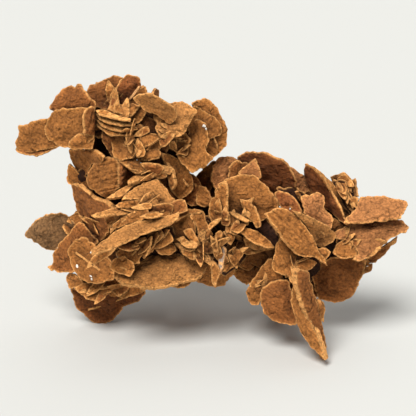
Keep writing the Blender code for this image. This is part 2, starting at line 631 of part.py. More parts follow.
def rosette(name, u, v, depth, radius, count, into):
    """A growth centre: a blocky heart, and crystals that radiate from it, spread evenly."""
    draw = random.Random(f"{name}{ROSE_SEED}")
    heart = at_depth(u, v, depth * MILLIMETRE)
    lump(f"{name}_heart", heart, radius * HEART_SHARE * MILLIMETRE, draw, into)
    for index in range(count):
        height = (index + 0.5) / count * 1.7 - 0.7
        spin = index * 2.39996 + draw.uniform(-0.3, 0.3)
        level = math.sqrt(max(0.0, 1.0 - height * height))
        outward = Vector((level * math.cos(spin), height, level * math.sin(spin)))
        sideways = outward.orthogonal().normalized()
        normal = Matrix.Rotation(draw.uniform(0.0, math.pi), 3, outward) @ sideways
        reach = radius * MILLIMETRE * draw.uniform(0.86, 1.08)
        centre = heart + outward * reach * 0.46
        rim = rose_rim(centre, outward, normal, reach * 0.56, reach * draw.uniform(0.42, 0.56), index * 1.3)
        thickness = draw.uniform(2.2, 3.2) * MILLIMETRE
        lens(f"{name}_{index}", rim, normal, thickness, into)


def stone_material():
    """Sandy gypsum: tan, dull, opaque."""
    stone = bpy.data.materials.new("sandy gypsum")
    stone.use_nodes = True
    surface = stone.node_tree.nodes["Principled BSDF"]
    surface.inputs["Base Color"].default_value = (0.36, 0.19, 0.09, 1.0)
    surface.inputs["Roughness"].default_value = 0.85
    stone.diffuse_color = (0.36, 0.19, 0.09, 1.0)
    return stone


def join_crystals(target, others):
    """Joins every crystal of a collection to the target as one body."""
    union = target.modifiers.new("grown together", "BOOLEAN")
    union.operation = "UNION"
    union.operand_type = "COLLECTION"
    union.collection = others
    union.solver = "EXACT"


def keel(name, rim, normal, reach, into):
    """A crystal that crosses another behind its face and reaches back along the sight line into the mass."""
    centre = sum(rim, Vector()) / len(rim)
    back = (centre - sight_axes()[2]).normalized()
    far = max(rim, key=lambda point: (point - centre).length) - centre
    along = far.normalized()
    near = -min((point - centre).dot(along) for point in rim)
    ahead = along * (0.55 * far.length)
    behind = along * min(0.55 * far.length, 0.8 * near)
    side = back.cross(along).normalized()
    sunk = (0.4 + 1.2 * abs(side.dot(normal))) / max(0.35, -back.dot(normal))
    level = centre + back * (sunk * MILLIMETRE) + side * (1.2 * MILLIMETRE)
    deep = back * (reach * MILLIMETRE)
    outline = [
        level + ahead * 0.9,
        level + ahead + deep * 0.5,
        level + ahead * 0.6 + deep,
        level - behind * 0.6 + deep,
        level - behind + deep * 0.5,
        level - behind * 0.9,
    ]
    lens(name, outline, side, 2.4 * MILLIMETRE, into)


def keep_largest_shell(shape):
    """Fills closed hollows and drops stray chips: only the largest connected shell stays."""
    unseen = set(shape.verts)
    shells = []
    while unseen:
        front = [unseen.pop()]
        shell = set(front)
        while front:
            for edge in front.pop().link_edges:
                for vert in edge.verts:
                    if vert not in shell:
                        shell.add(vert)
                        front.append(vert)
        unseen -= shell
        shells.append(shell)
    shells.sort(key=len)
    for shell in shells[:-1]:
        bmesh.ops.delete(shape, geom=list(shell), context="VERTS")
    return [len(shell) for shell in shells[:-1]]


def build():
    """Makes every crystal, joins them and wears the resting points flat."""
    clear_scene()
    rose = collection("gypsum sand rose", False)
    crystals = collection("crystals to join", True)
    cutters = collection("cutters", True)
    for group in DRAWN_GROUPS:
        for name, (depth, turn, lean, thickness, outline) in group.items():
            rim, normal = drawn_rim(depth, turn, lean, outline)
            lens(name, rim, normal, thickness * MILLIMETRE, crystals)
            if name in KEELS:
                keel(f"{name}_keel", rim, normal, KEELS[name], crystals)
    for name, (u, v, depth, radius, count) in ROSES.items():
        rosette(name, u, v, depth, radius, count, crystals)

    grown = crystals.objects["bar"]
    crystals.objects.unlink(grown)
    rose.objects.link(grown)
    join_crystals(grown, crystals)
    graph = bpy.context.evaluated_depsgraph_get()
    mesh = bpy.data.meshes.new_from_object(grown.evaluated_get(graph))
    mesh.name = "sand_rose"
    mesh.materials.clear()
    mesh.materials.append(stone_material())
    bpy.data.objects.remove(grown)
    shape = bmesh.new()
    shape.from_mesh(mesh)
    dropped = keep_largest_shell(shape)
    bmesh.ops.triangulate(shape, faces=shape.faces[:])
    shape.to_mesh(mesh)
    shape.free()
    made = bpy.data.objects.new("sand_rose", mesh)
    rose.objects.link(made)
    fewer = made.modifiers.new("slivers merged", "DECIMATE")
    fewer.ratio = FACET_SHARE
    worn = made.modifiers.new("worn resting points", "BOOLEAN")
    worn.operation = "DIFFERENCE"
    worn.object = block("floor", FLOOR_BLOCK, cutters)
    worn.solver = "EXACT"
    print("sand_rose: shells dropped, by point count:", dropped)


build()
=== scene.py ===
"""Looks of a gypsum sand rose: thin lens-shaped crystals of sandy gypsum that grew through one another.

Every crystal is meshed with its growth steps, ragged rim and grit, the crystals are joined into one body, and
the body is dressed as one natural stone. Units are metres unless a name or a comment says otherwise.
"""

from __future__ import annotations

import json
import logging
import math
import random
from dataclasses import dataclass, field
from enum import Enum
from typing import NamedTuple

import bmesh
import bpy
import numpy as np
from mathutils import Euler, Matrix, Vector
from mathutils.bvhtree import BVHTree
from mathutils.geometry import delaunay_2d_cdt

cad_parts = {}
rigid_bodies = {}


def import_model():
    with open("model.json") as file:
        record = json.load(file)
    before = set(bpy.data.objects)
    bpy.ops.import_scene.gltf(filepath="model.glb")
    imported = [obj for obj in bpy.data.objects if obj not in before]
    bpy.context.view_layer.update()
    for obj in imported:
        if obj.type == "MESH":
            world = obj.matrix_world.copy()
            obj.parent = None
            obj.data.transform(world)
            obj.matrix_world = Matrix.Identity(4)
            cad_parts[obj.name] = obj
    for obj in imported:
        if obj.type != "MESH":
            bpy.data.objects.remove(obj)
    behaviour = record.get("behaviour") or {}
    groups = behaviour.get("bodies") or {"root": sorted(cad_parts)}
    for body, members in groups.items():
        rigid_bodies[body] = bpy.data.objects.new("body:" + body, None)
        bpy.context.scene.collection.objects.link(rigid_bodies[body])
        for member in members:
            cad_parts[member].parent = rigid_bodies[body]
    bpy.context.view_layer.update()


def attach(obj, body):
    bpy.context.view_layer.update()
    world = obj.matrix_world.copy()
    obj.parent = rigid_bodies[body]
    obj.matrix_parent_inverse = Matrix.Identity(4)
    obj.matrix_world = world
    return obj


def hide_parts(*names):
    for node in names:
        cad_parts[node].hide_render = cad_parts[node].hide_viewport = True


LOG = logging.getLogger("sand rose")
MM = 0.001
MM_IN_A_METRE = 1000.0
PICTURE_WIDTH = 416

# Factors that scatter a noise cell's corner and its seed into a random value.
HASH_RIGHT, HASH_UP, HASH_SEED, HASH_SPREAD = 127.1, 311.7, 74.7, 43758.5453
# A rim's curve: samples between two marks, and the fewest points that it keeps.
SIDE_SAMPLES, FEWEST_RIM_POINTS = 12, 14
# Turn from one crystal of a growth centre to the next, in radians: it spreads any number evenly.
GOLDEN_TURN = 2.39996
# A share of a whole turn that never repeats, for a different number on each crystal.
GOLDEN_SHARE = 0.6180339
ROSE_SEED = 7


class Skin(Enum):
    """How the broad face of a crystal weathered, and how rough that left it."""

    SANDY = 1.0
    STRIATED = 0.9
    PITTED = 1.2
    SMOOTH = 0.5
    ROUGH = 1.7


class Tone(Enum):
    """Colours the sandy gypsum takes, as sRGB, named for what stained it; GAP_SHADE is painted shade, near
    black, for plates deep in the gaps.
    """

    TAN = "#A66A33"
    PALE = "#B87C42"
    BROWN = "#945A2B"
    UMBER = "#7E4822"
    GREY = "#8A643E"
    ROSE = "#B07342"
    RUST = "#9C5C30"
    # Painted shade: near black, standing in for the shadow on plates deep in the gaps; not a stain.
    GAP_SHADE = "#3A2010"
    CLEAR = "#A89280"
    WHITE = "#E6DED2"


LEAF_TONES = (Tone.TAN, Tone.PALE, Tone.BROWN)


class Shell(NamedTuple):
    """A closed mesh: points in metres, faces, and each point's place on its face and from its rim (mm)."""

    points: np.ndarray
    faces: list[tuple[int, ...]]
    place: np.ndarray


@dataclass(frozen=True)
class Sheet:
    """The flat sheet that the front crystals are drawn on, and the eye point it is seen from."""

    unit: float = 0.0005
    middle: tuple[float, float] = (208.0, 208.0)
    point: Vector = field(default_factory=lambda: Vector((-0.00282, -0.00641, 0.068)))
    distance: float = 0.65
    elevation: float = 20.0

    @property
    def up(self) -> Vector:
        """The sheet's upward direction."""
        angle = math.radians(self.elevation)
        return Vector((0.0, math.sin(angle), math.cos(angle)))

    @property
    def eye(self) -> Vector:
        """The eye point."""
        angle = math.radians(self.elevation)
        return self.point + Vector((0.0, -math.cos(angle), math.sin(angle))) * self.distance

    def place(self, u: float, v: float) -> Vector:
        """The point in space of a mark on the sheet.

        Args:
            u: divisions to the right.
            v: divisions down.

        Returns:
            The point.
        """
        across = (u - self.middle[0]) * self.unit
        rise = (self.middle[1] - v) * self.unit
        return self.point + Vector((across, 0.0, 0.0)) + self.up * rise

    def at_depth(self, u: float, v: float, depth: float) -> Vector:
        """Where the sight line through a mark meets an upright plane.

        Args:
            u: divisions to the right.
            v: divisions down.
            depth: how far the plane is behind the sheet's middle.

        Returns:
            The point.
        """
        ray = self.place(u, v) - self.eye
        return self.eye + ray * ((self.point.y + depth - self.eye.y) / ray.y)

    def sight(self, u: float, v: float) -> Vector:
        """The direction from the eye through a mark."""
        return (self.place(u, v) - self.eye).normalized()


SHEET = Sheet()


def linear(hex_colour: str) -> tuple[float, float, float, float]:
    """An sRGB hex colour as linear light, opaque.

    Args:
        hex_colour: such as "#A66A33".

    Returns:
        Red, green, blue and an alpha of 1.
    """
    parts = (int(hex_colour[at : at + 2], 16) / 255.0 for at in (1, 3, 5))
    red, green, blue = (p / 12.92 if p <= 0.04045 else ((p + 0.055) / 1.055) ** 2.4 for p in parts)
    return red, green, blue, 1.0


def hash_noise(points: np.ndarray, seed: float) -> np.ndarray:
    """Smooth value noise in the plane, between -1 and 1.

    Args:
        points: n by 2 places, one noise cell to a unit.
        seed: any number; another seed gives another pattern.

    Returns:
        n values.
    """
    cell = np.floor(points)
    part = points - cell
    part = part * part * (3.0 - 2.0 * part)

    def corner(right: float, up: float) -> np.ndarray:
        """The random value of one corner of each cell."""
        mixed = (cell[:, 0] + right) * HASH_RIGHT + (cell[:, 1] + up) * HASH_UP + seed * HASH_SEED
        raw = np.sin(mixed) * HASH_SPREAD
        return raw - np.floor(raw)

    low = corner(0, 0) * (1 - part[:, 0]) + corner(1, 0) * part[:, 0]
    high = corner(0, 1) * (1 - part[:, 0]) + corner(1, 1) * part[:, 0]
    return (low * (1 - part[:, 1]) + high * part[:, 1]) * 2.0 - 1.0


def rim_curve(marks: np.ndarray, spacing: float, tight: float) -> np.ndarray:
    """A smooth closed curve through the marks, in even steps.

    Args:
        marks: n by 2 points of the outline, in millimetres.
        spacing: distance between points of the curve.
        tight: 0 for straight sides, up to 1 for full curves.

    Returns:
        m by 2 points.
    """
    count = len(marks)
    share = np.linspace(0.0, 1.0, SIDE_SAMPLES, endpoint=False)[:, None]
    square, cube = share**2, share**3
    dense: list[np.ndarray] = []
    for index in range(count):
        before, start, end, after = (marks[(index + step) % count] for step in (-1, 0, 1, 2))
        chord = float(np.linalg.norm(end - start))
        lead = (end - before) * 0.5 * tight
        tail = (after - start) * 0.5 * tight
        for vector in (lead, tail):
            size = float(np.linalg.norm(vector))
            if size > chord:
                vector *= chord / size
        curve = (2 * cube - 3 * square + 1) * start + (cube - 2 * square + share) * lead
        dense.append(curve + (3 * square - 2 * cube) * end + (cube - square) * tail)
    points = np.concatenate(dense)
    closed = np.vstack([points, points[:1]])
    along = np.concatenate([[0.0], np.cumsum(np.linalg.norm(np.diff(closed, axis=0), axis=1))])
    steps = max(FEWEST_RIM_POINTS, int(round(along[-1] / spacing)))
    wanted = np.linspace(0.0, along[-1], steps, endpoint=False)
    return np.stack([np.interp(wanted, along, closed[:, axis]) for axis in (0, 1)], axis=1)


@dataclass(frozen=True)
class Weathering:
    """Sizes of the growth steps, lumps and ridges on a broad face, in millimetres.

    Attributes:
        crown: rise of the middle, as a share of the crystal's thickness.
        terraces: growth steps, each as its distance from the rim and its rise.
        lumps: unevenness, each as its size, its seed and its height.
        ridge_pitch: distance between the ridges of a striated face.
        ridge_height: their height.
    """

    crown: float = 0.1
    terraces: tuple[tuple[float, float], ...] = ((1.5, 0.5), (3.4, 0.7), (6.0, 0.8), (9.0, 0.7))
    lumps: tuple[tuple[float, float, float], ...] = ((3.0, 6.0, 0.28), (8.0, 6.5, 0.9), (1.7, 7.5, 0.09))
    ridge_pitch: float = 2.5
    ridge_height: float = 0.75

    def height(
        self, points: np.ndarray, away: np.ndarray, thick: float, skin: Skin, seed: float, across: np.ndarray
    ) -> np.ndarray:
        """Height of a face over the level of its rim, in millimetres.

        Args:
            points: n by 2 places on the face.
            away: their distances from the rim.
            thick: the crystal's thickness.
            skin: how the face weathered.
            seed: sets the pattern.
            across: direction across the ridges, in the face's plane.

        Returns:
            n heights.
        """
        reach = max(2.0, float(away.max()))
        height = self.crown * thick * np.clip(away / reach, 0.0, 1.0) ** 0.8
        bent = away + hash_noise(points / 4.0, seed + 4.0) * 1.1
        for at, rise in self.terraces:
            height += rise / (1.0 + np.exp(-(bent - at) * 5.0)) * hash_noise(points / 7.0 + at, seed + 5.0)
        inner = np.clip(away / 1.2, 0.0, 1.0)
        for size, shift, lump in self.lumps:
            height += inner * skin.value * hash_noise(points / size, seed + shift) * lump
        if skin is Skin.STRIATED:
            over = points @ across + hash_noise(points / 9.0, seed + 8.0) * 0.7
            height += inner * self.ridge_height * np.abs(np.sin(over * math.pi / self.ridge_pitch)) ** 0.6
        return height


WEATHERING = Weathering()


@dataclass
class Lens:
    """One crystal to be meshed: its rim in its own plane, and how its faces weathered.

    Attributes:
        front_step, back_step, rim_step: distance between mesh points on each face and on the rim (mm).
        ragged: how scalloped and chipped the rim is.
        edge: height of the rim's wall (mm).
        ridges: rise to the right of the ridges of a striated face, in degrees.
    """

    name: str
    rim: list[Vector]
    normal: Vector
    thickness: float
    skin: Skin = Skin.SANDY
    seed: float = 0.0
    front_step: float = 1.5
    back_step: float = 3.0
    rim_step: float = 0.8
    ragged: float = 1.0
    edge: float = 1.1
    ridges: float = 16.0
    tone: Tone = Tone.TAN

    @property
    def across(self) -> Vector:
        """Direction across the ridges of a striated face."""
        angle = math.radians(self.ridges)
        along = Vector((math.cos(angle), 0.0, 0.0)) + SHEET.up * math.sin(angle)
        return along.cross(self.normal).normalized()

    def mesh(self) -> Shell:
        """The crystal's closed mesh.

        Returns:
            The mesh.

        Raises:
            ValueError: if no smoothing of the rim gives a closed mesh.
        """
        centre = sum(self.rim, Vector()) / len(self.rim)
        first = (self.rim[0] - centre).normalized()
        second = self.normal.cross(first).normalized()
        across = np.array((self.across.dot(first), self.across.dot(second)))
        marks = np.array([((p - centre).dot(first), (p - centre).dot(second)) for p in self.rim]) / MM
        if np.sum(marks[:, 0] * np.roll(marks[:, 1], -1) - np.roll(marks[:, 0], -1) * marks[:, 1]) < 0.0:
            marks = marks[::-1]
        for strength in (1.0, 0.5, 0.2, 0.0):
            curve = self._scallop(rim_curve(marks, self.rim_step, 0.32 * strength), strength)
            made = self._closed(curve, self.thickness / MM, strength, across)
            if made is not None:
                in_space = np.array(centre) + (made.points * MM) @ np.array([first, second, self.normal])
                return made._replace(points=in_space)
        raise ValueError(f"the rim of {self.name} crosses itself")

    def _closed(self, curve: np.ndarray, thick: float, strength: float, across: np.ndarray) -> Shell | None:
        """Both faces and the wall between them, in millimetres.

        Args:
            curve: the rim.
            thick: the crystal's thickness.
            strength: how much of the rim's raggedness is left, from 0 to 1.
            across: direction across the ridges, in the face's plane.

        Returns:
            The mesh, or None if the rim crosses itself.
        """
        inset = curve - self._outward(curve) * (min(0.16, thick * 0.1) * strength)
        front = self._face(inset, self.front_step, thick, 0.0, across)
        back = self._face(inset, self.back_step, thick, 50.0, across)
        if front is None or back is None:
            return None
        count = len(curve)
        thin = min(self.edge, thick)
        wobble = hash_noise(curve / 2.3, self.seed + 9.0) * 0.1
        wall = np.column_stack([curve, np.full(count, -thin * 0.5) + wobble])
        swell = (thick - thin) * np.clip(back.place / 3.5, 0.0, 1.0) ** 0.8
        back_points = np.column_stack([back.points[:, :2], -thin - swell - back.points[:, 2] * 0.6])
        wall_at = len(front.points)
        back_at = wall_at + count
        faces = [*front.faces]
        faces += [tuple(back_at + corner for corner in reversed(face)) for face in back.faces]
        for index in range(count):
            after = (index + 1) % count
            faces.append((index, wall_at + index, wall_at + after))
            faces.append((index, wall_at + after, after))
            faces.append((wall_at + index, back_at + index, back_at + after))
            faces.append((wall_at + index, back_at + after, wall_at + after))
        points = np.vstack([front.points, wall, back_points])
        away = np.concatenate([front.place, np.zeros(count), back.place])
        return Shell(points, faces, np.column_stack([points[:, :2], away]))

    def _scallop(self, curve: np.ndarray, strength: float) -> np.ndarray:
        """The rim with its small lobes, nibbles and chips.

        Args:
            curve: the smooth rim, in millimetres.
            strength: how much of the raggedness is wanted, from 0 to 1.

        Returns:
            The ragged rim, with as many points.
        """
        lobes = hash_noise(curve / 4.6, self.seed + 1.0) * 0.42
        nibbles = hash_noise(curve / 1.6, self.seed + 2.0) * 0.46
        chips = np.clip(hash_noise(curve / 3.0, self.seed + 3.0) - 0.4, 0.0, 1.0) * -1.6
        span = float(np.ptp(curve, axis=0).min())
        share = self.ragged * strength * min(1.0, span / 14.0)
        return curve + self._outward(curve) * ((lobes + nibbles + chips) * share)[:, None]

    @staticmethod
    def _outward(curve: np.ndarray) -> np.ndarray:
        """Unit directions out of the rim, in its plane."""
        along = np.roll(curve, -1, axis=0) - np.roll(curve, 1, axis=0)
        outward = np.column_stack([along[:, 1], -along[:, 0]])
        return outward / np.maximum(np.linalg.norm(outward, axis=1, keepdims=True), 1e-9)

    def _inner_points(self, rim: np.ndarray, step: float, seed: float) -> tuple[np.ndarray, np.ndarray]:
        """Uneven points that cover the face inside its rim.

        Args:
            rim: the outline.
            step: distance between points.
            seed: sets how they are shifted.

        Returns:
            The points and their distances from the rim.
        """
        low, high = rim.min(axis=0), rim.max(axis=0)
        rows = []
        for row, y in enumerate(np.arange(low[1], high[1], step * 0.87)):
            xs = np.arange(low[0] + step * 0.5 * (row % 2), high[0], step)
            rows.append(np.column_stack([xs, np.full(len(xs), y)]))
        grid = np.concatenate(rows) if rows else np.empty((0, 2))
        shift = np.column_stack([hash_noise(grid * 3.1, seed), hash_noise(grid * 3.3, seed + 7.0)])
        grid = grid + shift * (step * 0.22)
        away = self._distance(grid, rim)
        inside = away > step * 0.55
        return grid[inside], away[inside]

    def _face(
        self, rim: np.ndarray, step: float, thick: float, shift: float, across: np.ndarray
    ) -> Shell | None:
        """One broad face.

        Args:
            rim: the outline, in millimetres.
            step: distance between the points inside it.
            thick: the crystal's thickness.
            shift: added to the seed, so that both faces differ.
            across: direction across the ridges, in the face's plane.

        Returns:
            Points with the rim's first, triangles, and distances from the rim; or None for a rim that crosses
            itself.
        """
        seed = self.seed + shift
        grid, away = self._inner_points(rim, step, seed)
        everything = np.vstack([rim, grid])
        loop = list(range(len(rim)))
        edges = [(index, (index + 1) % len(rim)) for index in loop]
        made = delaunay_2d_cdt([Vector(point) for point in everything], edges, [loop], 1, 1e-6)
        flat, triangles, origins = np.array([tuple(point) for point in made[0]]), made[2], made[3]
        if len(origins) != len(everything) or any(len(origin) != 1 for origin in origins):
            return None
        far = np.zeros(len(flat))
        order = np.full(len(rim), -1)
        for index, (item,) in enumerate(origins):
            if item < len(rim):
                order[item] = index
            else:
                far[index] = away[item - len(rim)]
        on_rim = set(order.tolist())
        new_order = [*order, *(index for index in range(len(flat)) if index not in on_rim)]
        where = {old: new for new, old in enumerate(new_order)}
        flat, far = flat[new_order], far[new_order]
        faces = [tuple(where[corner] for corner in face) for face in triangles]
        height = WEATHERING.height(flat, far, thick, self.skin, seed, across)
        return Shell(np.column_stack([flat, height]), faces, far)

    @staticmethod
    def _distance(points: np.ndarray, rim: np.ndarray) -> np.ndarray:
        """Distance from each point to the rim, negative outside it.

        Args:
            points: n by 2 places.
            rim: the outline.

        Returns:
            n distances.
        """
        end = np.roll(rim, -1, axis=0)
        along = end - rim
        to_point = points[:, None, :] - rim[None, :, :]
        share = np.einsum("ijk,jk->ij", to_point, along) / np.einsum("jk,jk->j", along, along)
        gap = np.linalg.norm(to_point - np.clip(share, 0.0, 1.0)[..., None] * along[None], axis=2).min(axis=1)
        y = points[:, 1][:, None]
        crosses = (rim[None, :, 1] > y) != (end[None, :, 1] > y)
        rise = np.where(np.abs(end[:, 1] - rim[:, 1]) < 1e-9, 1e-9, end[:, 1] - rim[:, 1])
        at = rim[None, :, 0] + (y - rim[None, :, 1]) * (end[:, 0] - rim[:, 0])[None] / rise[None]
        inside = (crosses & (points[:, 0][:, None] < at)).sum(axis=1) % 2 == 1
        return np.where(inside, gap, -gap)


@dataclass(frozen=True)
class Crystal:
    """A front crystal as it is drawn: its outline on the sheet, and how its plane stands behind it.

    Attributes:
        depth: how far it is behind the sheet's middle (mm).
        turn: degrees the face is turned to the right of the front.
        lean: degrees the face tips up to the sky.
        thickness: in millimetres.
        outline: "right,down" marks on the sheet, in its divisions.
        keel: how far back a crystal that crosses behind its face reaches (mm), or 0 for none.
        ridges: rise to the right of the ridges of a striated face, in degrees.
    """

    name: str
    depth: float
    turn: float
    lean: float
    thickness: float
    outline: str
    tone: Tone = Tone.TAN
    skin: Skin = Skin.SANDY
    keel: float = 0.0
    ridges: float = 16.0

    @property
    def normal(self) -> Vector:
        """The outward direction of the face."""
        turn, lean = math.radians(self.turn), math.radians(self.lean)
        return Vector((math.sin(turn) * math.cos(lean), -math.cos(turn) * math.cos(lean), math.sin(lean)))

    def rim(self) -> list[Vector]:
        """Carries the drawn outline along the sight lines to the crystal's plane.

        Returns:
            The rim.
        """
        marks = [tuple(float(part) for part in mark.split(",")) for mark in self.outline.split()]
        middle = (sum(mark[axis] for mark in marks) / len(marks) for axis in (0, 1))
        anchor = SHEET.at_depth(*middle, self.depth * MM)
        normal = self.normal
        rim = []
        for u, v in marks:
            ray = SHEET.place(u, v) - SHEET.eye
            rim.append(SHEET.eye + ray * ((anchor - SHEET.eye).dot(normal) / ray.dot(normal)))
        return rim

    def lenses(self, seed: float) -> list[Lens]:
        """The crystal, and the keel that crosses behind it if it has one.

        Args:
            seed: sets the pattern of its rim and faces.

        Returns:
            One or two crystals to mesh.
        """
        rim = self.rim()
        step = 0.8 if self.skin is Skin.STRIATED else 1.6
        found = [
            Lens(
                self.name, rim, self.normal, self.thickness * MM, self.skin, seed, step,
                ridges=self.ridges, tone=self.tone,
            )
        ]
        if self.keel:
            outline, side = self._keel_rim(rim)
            found.append(
                Lens(
                    f"{self.name}_keel", outline, side, 2.4 * MM, self.skin, seed + 0.5,
                    front_step=2.6, back_step=2.6, rim_step=1.7, ragged=0.6,
                )
            )
        return found

    def _keel_rim(self, rim: list[Vector]) -> tuple[list[Vector], Vector]:
        """The rim of the crystal that crosses behind this one and reaches back into the mass.

        Args:
            rim: this crystal's rim.

        Returns:
            The keel's rim and the direction of its face.
        """
        centre = sum(rim, Vector()) / len(rim)
        back = (centre - SHEET.eye).normalized()
        far = max(rim, key=lambda point: (point - centre).length) - centre
        along = far.normalized()
        near = -min((point - centre).dot(along) for point in rim)
        ahead = along * (0.55 * far.length)
        behind = along * min(0.55 * far.length, 0.8 * near)
        side = back.cross(along).normalized()
        sunk = (0.4 + 1.2 * abs(side.dot(self.normal))) / max(0.35, -back.dot(self.normal))
        level = centre + back * (sunk * MM) + side * (1.2 * MM)
        deep = back * (self.keel * MM)
        outline = [
            level + ahead * 0.9,
            level + ahead + deep * 0.5,
            level + ahead * 0.6 + deep,
            level - behind * 0.6 + deep,
            level - behind + deep * 0.5,
            level - behind * 0.9,
        ]
        return outline, side


@dataclass(frozen=True)
class Cluster:
    """A sub-assembly of front crystals that stand together."""

    name: str
    crystals: tuple[Crystal, ...]

    def lenses(self, before: int) -> list[Lens]:
        """The cluster's crystals and their keels.

        Args:
            before: how many crystals were made before these, which sets their seeds.

        Returns:
            Crystals to mesh.
        """
        found: list[Lens] = []
        for crystal in self.crystals:
            found += crystal.lenses((before + len(found)) * 1.37)
        LOG.info("%s: %d crystals", self.name, len(found))
        return found


@dataclass
class Core:
    """The blocky core of a growth centre."""

    name: str
    centre: Vector
    radius: float
    tumble: Euler
    swell: list[float]
    tone: Tone = Tone.TAN

    def mesh(self) -> Shell:
        """The core's closed mesh.

        Returns:
            The mesh.
        """
        shape = bmesh.new()
        spin = Matrix.Translation(self.centre) @ self.tumble.to_matrix().to_4x4()
        bmesh.ops.create_icosphere(shape, subdivisions=1, radius=self.radius, matrix=spin)
        for vert, swell in zip(shape.verts, self.swell):
            vert.co = self.centre + (vert.co - self.centre) * swell
        bmesh.ops.subdivide_edges(shape, edges=shape.edges[:], cuts=4, use_grid_fill=True)
        for vert in shape.verts:
            place = np.array([[vert.co.x + vert.co.y * 0.7, vert.co.z - vert.co.y * 0.6]]) / (4.0 * MM)
            lift = float(hash_noise(place, self.radius)[0]) * 0.35 * MM
            vert.co += (vert.co - self.centre).normalized() * lift
        bmesh.ops.triangulate(shape, faces=shape.faces[:])
        points = np.array([tuple(vert.co) for vert in shape.verts])
        shape.verts.index_update()
        faces = [tuple(vert.index for vert in face.verts) for face in shape.faces]
        shape.free()
        place = (points - points.mean(axis=0)) / MM
        return Shell(points, faces, np.column_stack([place[:, 0], place[:, 2], np.full(len(points), 9.0)]))


@dataclass(frozen=True)
class Growth:
    """A growth centre behind the front: a core, and the crystals that radiate from it, spread evenly.

    Attributes:
        u, v: divisions to the right and down on the sheet.
        depth: how far it is behind the sheet's middle (mm).
        radius: reach of its crystals (mm).
        count: how many they are.
        core_share: radius of the core, as a share of that reach.
    """

    name: str
    u: float
    v: float
    depth: float
    radius: float
    count: int
    core_share: float = 0.68

    def lenses(self) -> list[Core | Lens]:
        """The core and the radiating crystals.

        Returns:
            The core first, then the crystals to mesh.
        """
        draw = random.Random(f"{self.name}{ROSE_SEED}")
        middle = SHEET.at_depth(self.u, self.v, self.depth * MM)
        tumble = Euler([draw.uniform(0.0, math.tau) for _ in range(3)])
        swell = [draw.uniform(0.8, 1.15) for _ in range(12)]
        made: list[Core | Lens] = [
            Core(f"{self.name}_heart", middle, self.radius * self.core_share * MM, tumble, swell)
        ]
        for index in range(self.count):
            height = (index + 0.5) / self.count * 1.7 - 0.7
            spin = index * GOLDEN_TURN + draw.uniform(-0.3, 0.3)
            level = math.sqrt(max(0.0, 1.0 - height * height))
            outward = Vector((level * math.cos(spin), height, level * math.sin(spin)))
            sideways = outward.orthogonal().normalized()
            normal = Matrix.Rotation(draw.uniform(0.0, math.pi), 3, outward) @ sideways
            reach = self.radius * MM * draw.uniform(0.86, 1.08)
            centre = middle + outward * reach * 0.46
            width = reach * draw.uniform(0.42, 0.56)
            rim = self._oval(centre, outward, normal, (reach * 0.56, width), index * 1.3)
            made.append(
                Lens(
                    f"{self.name}_{index}", rim, normal, draw.uniform(2.2, 3.2) * MM,
                    seed=index * 3.7 + self.u, front_step=2.4, back_step=2.4, rim_step=1.5, ragged=0.8,
                )
            )
        return made

    @staticmethod
    def _oval(
        centre: Vector, outward: Vector, normal: Vector, size: tuple[float, float], lobes: float
    ) -> list[Vector]:
        """An oval rim with shallow lobes.

        Args:
            centre: its middle.
            outward: direction of its long axis.
            normal: direction of its face.
            size: half its length and half its width.
            lobes: sets where the lobes are.

        Returns:
            Six points.
        """
        across = normal.cross(outward).normalized()
        rim = []
        for step in range(6):
            angle = math.tau * step / 6
            reach = 1.0 + 0.07 * math.sin(3.0 * angle + lobes) + 0.05 * math.sin(2.0 * angle + 2.0 * lobes)
            along, aside = size[0] * reach * math.cos(angle), size[1] * reach * math.sin(angle)
            rim.append(centre + outward * along + across * aside)
        return rim


@dataclass(frozen=True)
class Crumb:
    """A crumb of white gypsum, half sunk where a sight line meets the stone.

    Attributes:
        u, v: divisions to the right and down on the sheet.
        size: its radius, before it is stretched (mm).
    """

    u: float
    v: float
    size: float
    tone: Tone = Tone.WHITE

    def mesh(self, stone: BVHTree) -> Shell | None:
        """The crumb's closed mesh.

        Args:
            stone: every larger crystal.

        Returns:
            The mesh, or None where the sight line misses the stone.
        """
        place = stone.ray_cast(SHEET.eye, SHEET.sight(self.u, self.v))[0]
        if place is None:
            return None
        draw = random.Random(self.u + self.v)
        shape = bmesh.new()
        bmesh.ops.create_icosphere(shape, subdivisions=1, radius=self.size * MM)
        spin = Euler([draw.uniform(0.0, math.tau) for _ in range(3)]).to_matrix()
        points = []
        for vert in shape.verts:
            stretched = Vector((vert.co.x * 1.3, vert.co.y, vert.co.z * 0.7)) * draw.uniform(0.75, 1.2)
            points.append(tuple(place + spin @ stretched))
        faces = [tuple(vert.index for vert in face.verts) for face in shape.faces]
        shape.free()
        return Shell(np.array(points), faces, np.full((len(points), 3), 9.0))


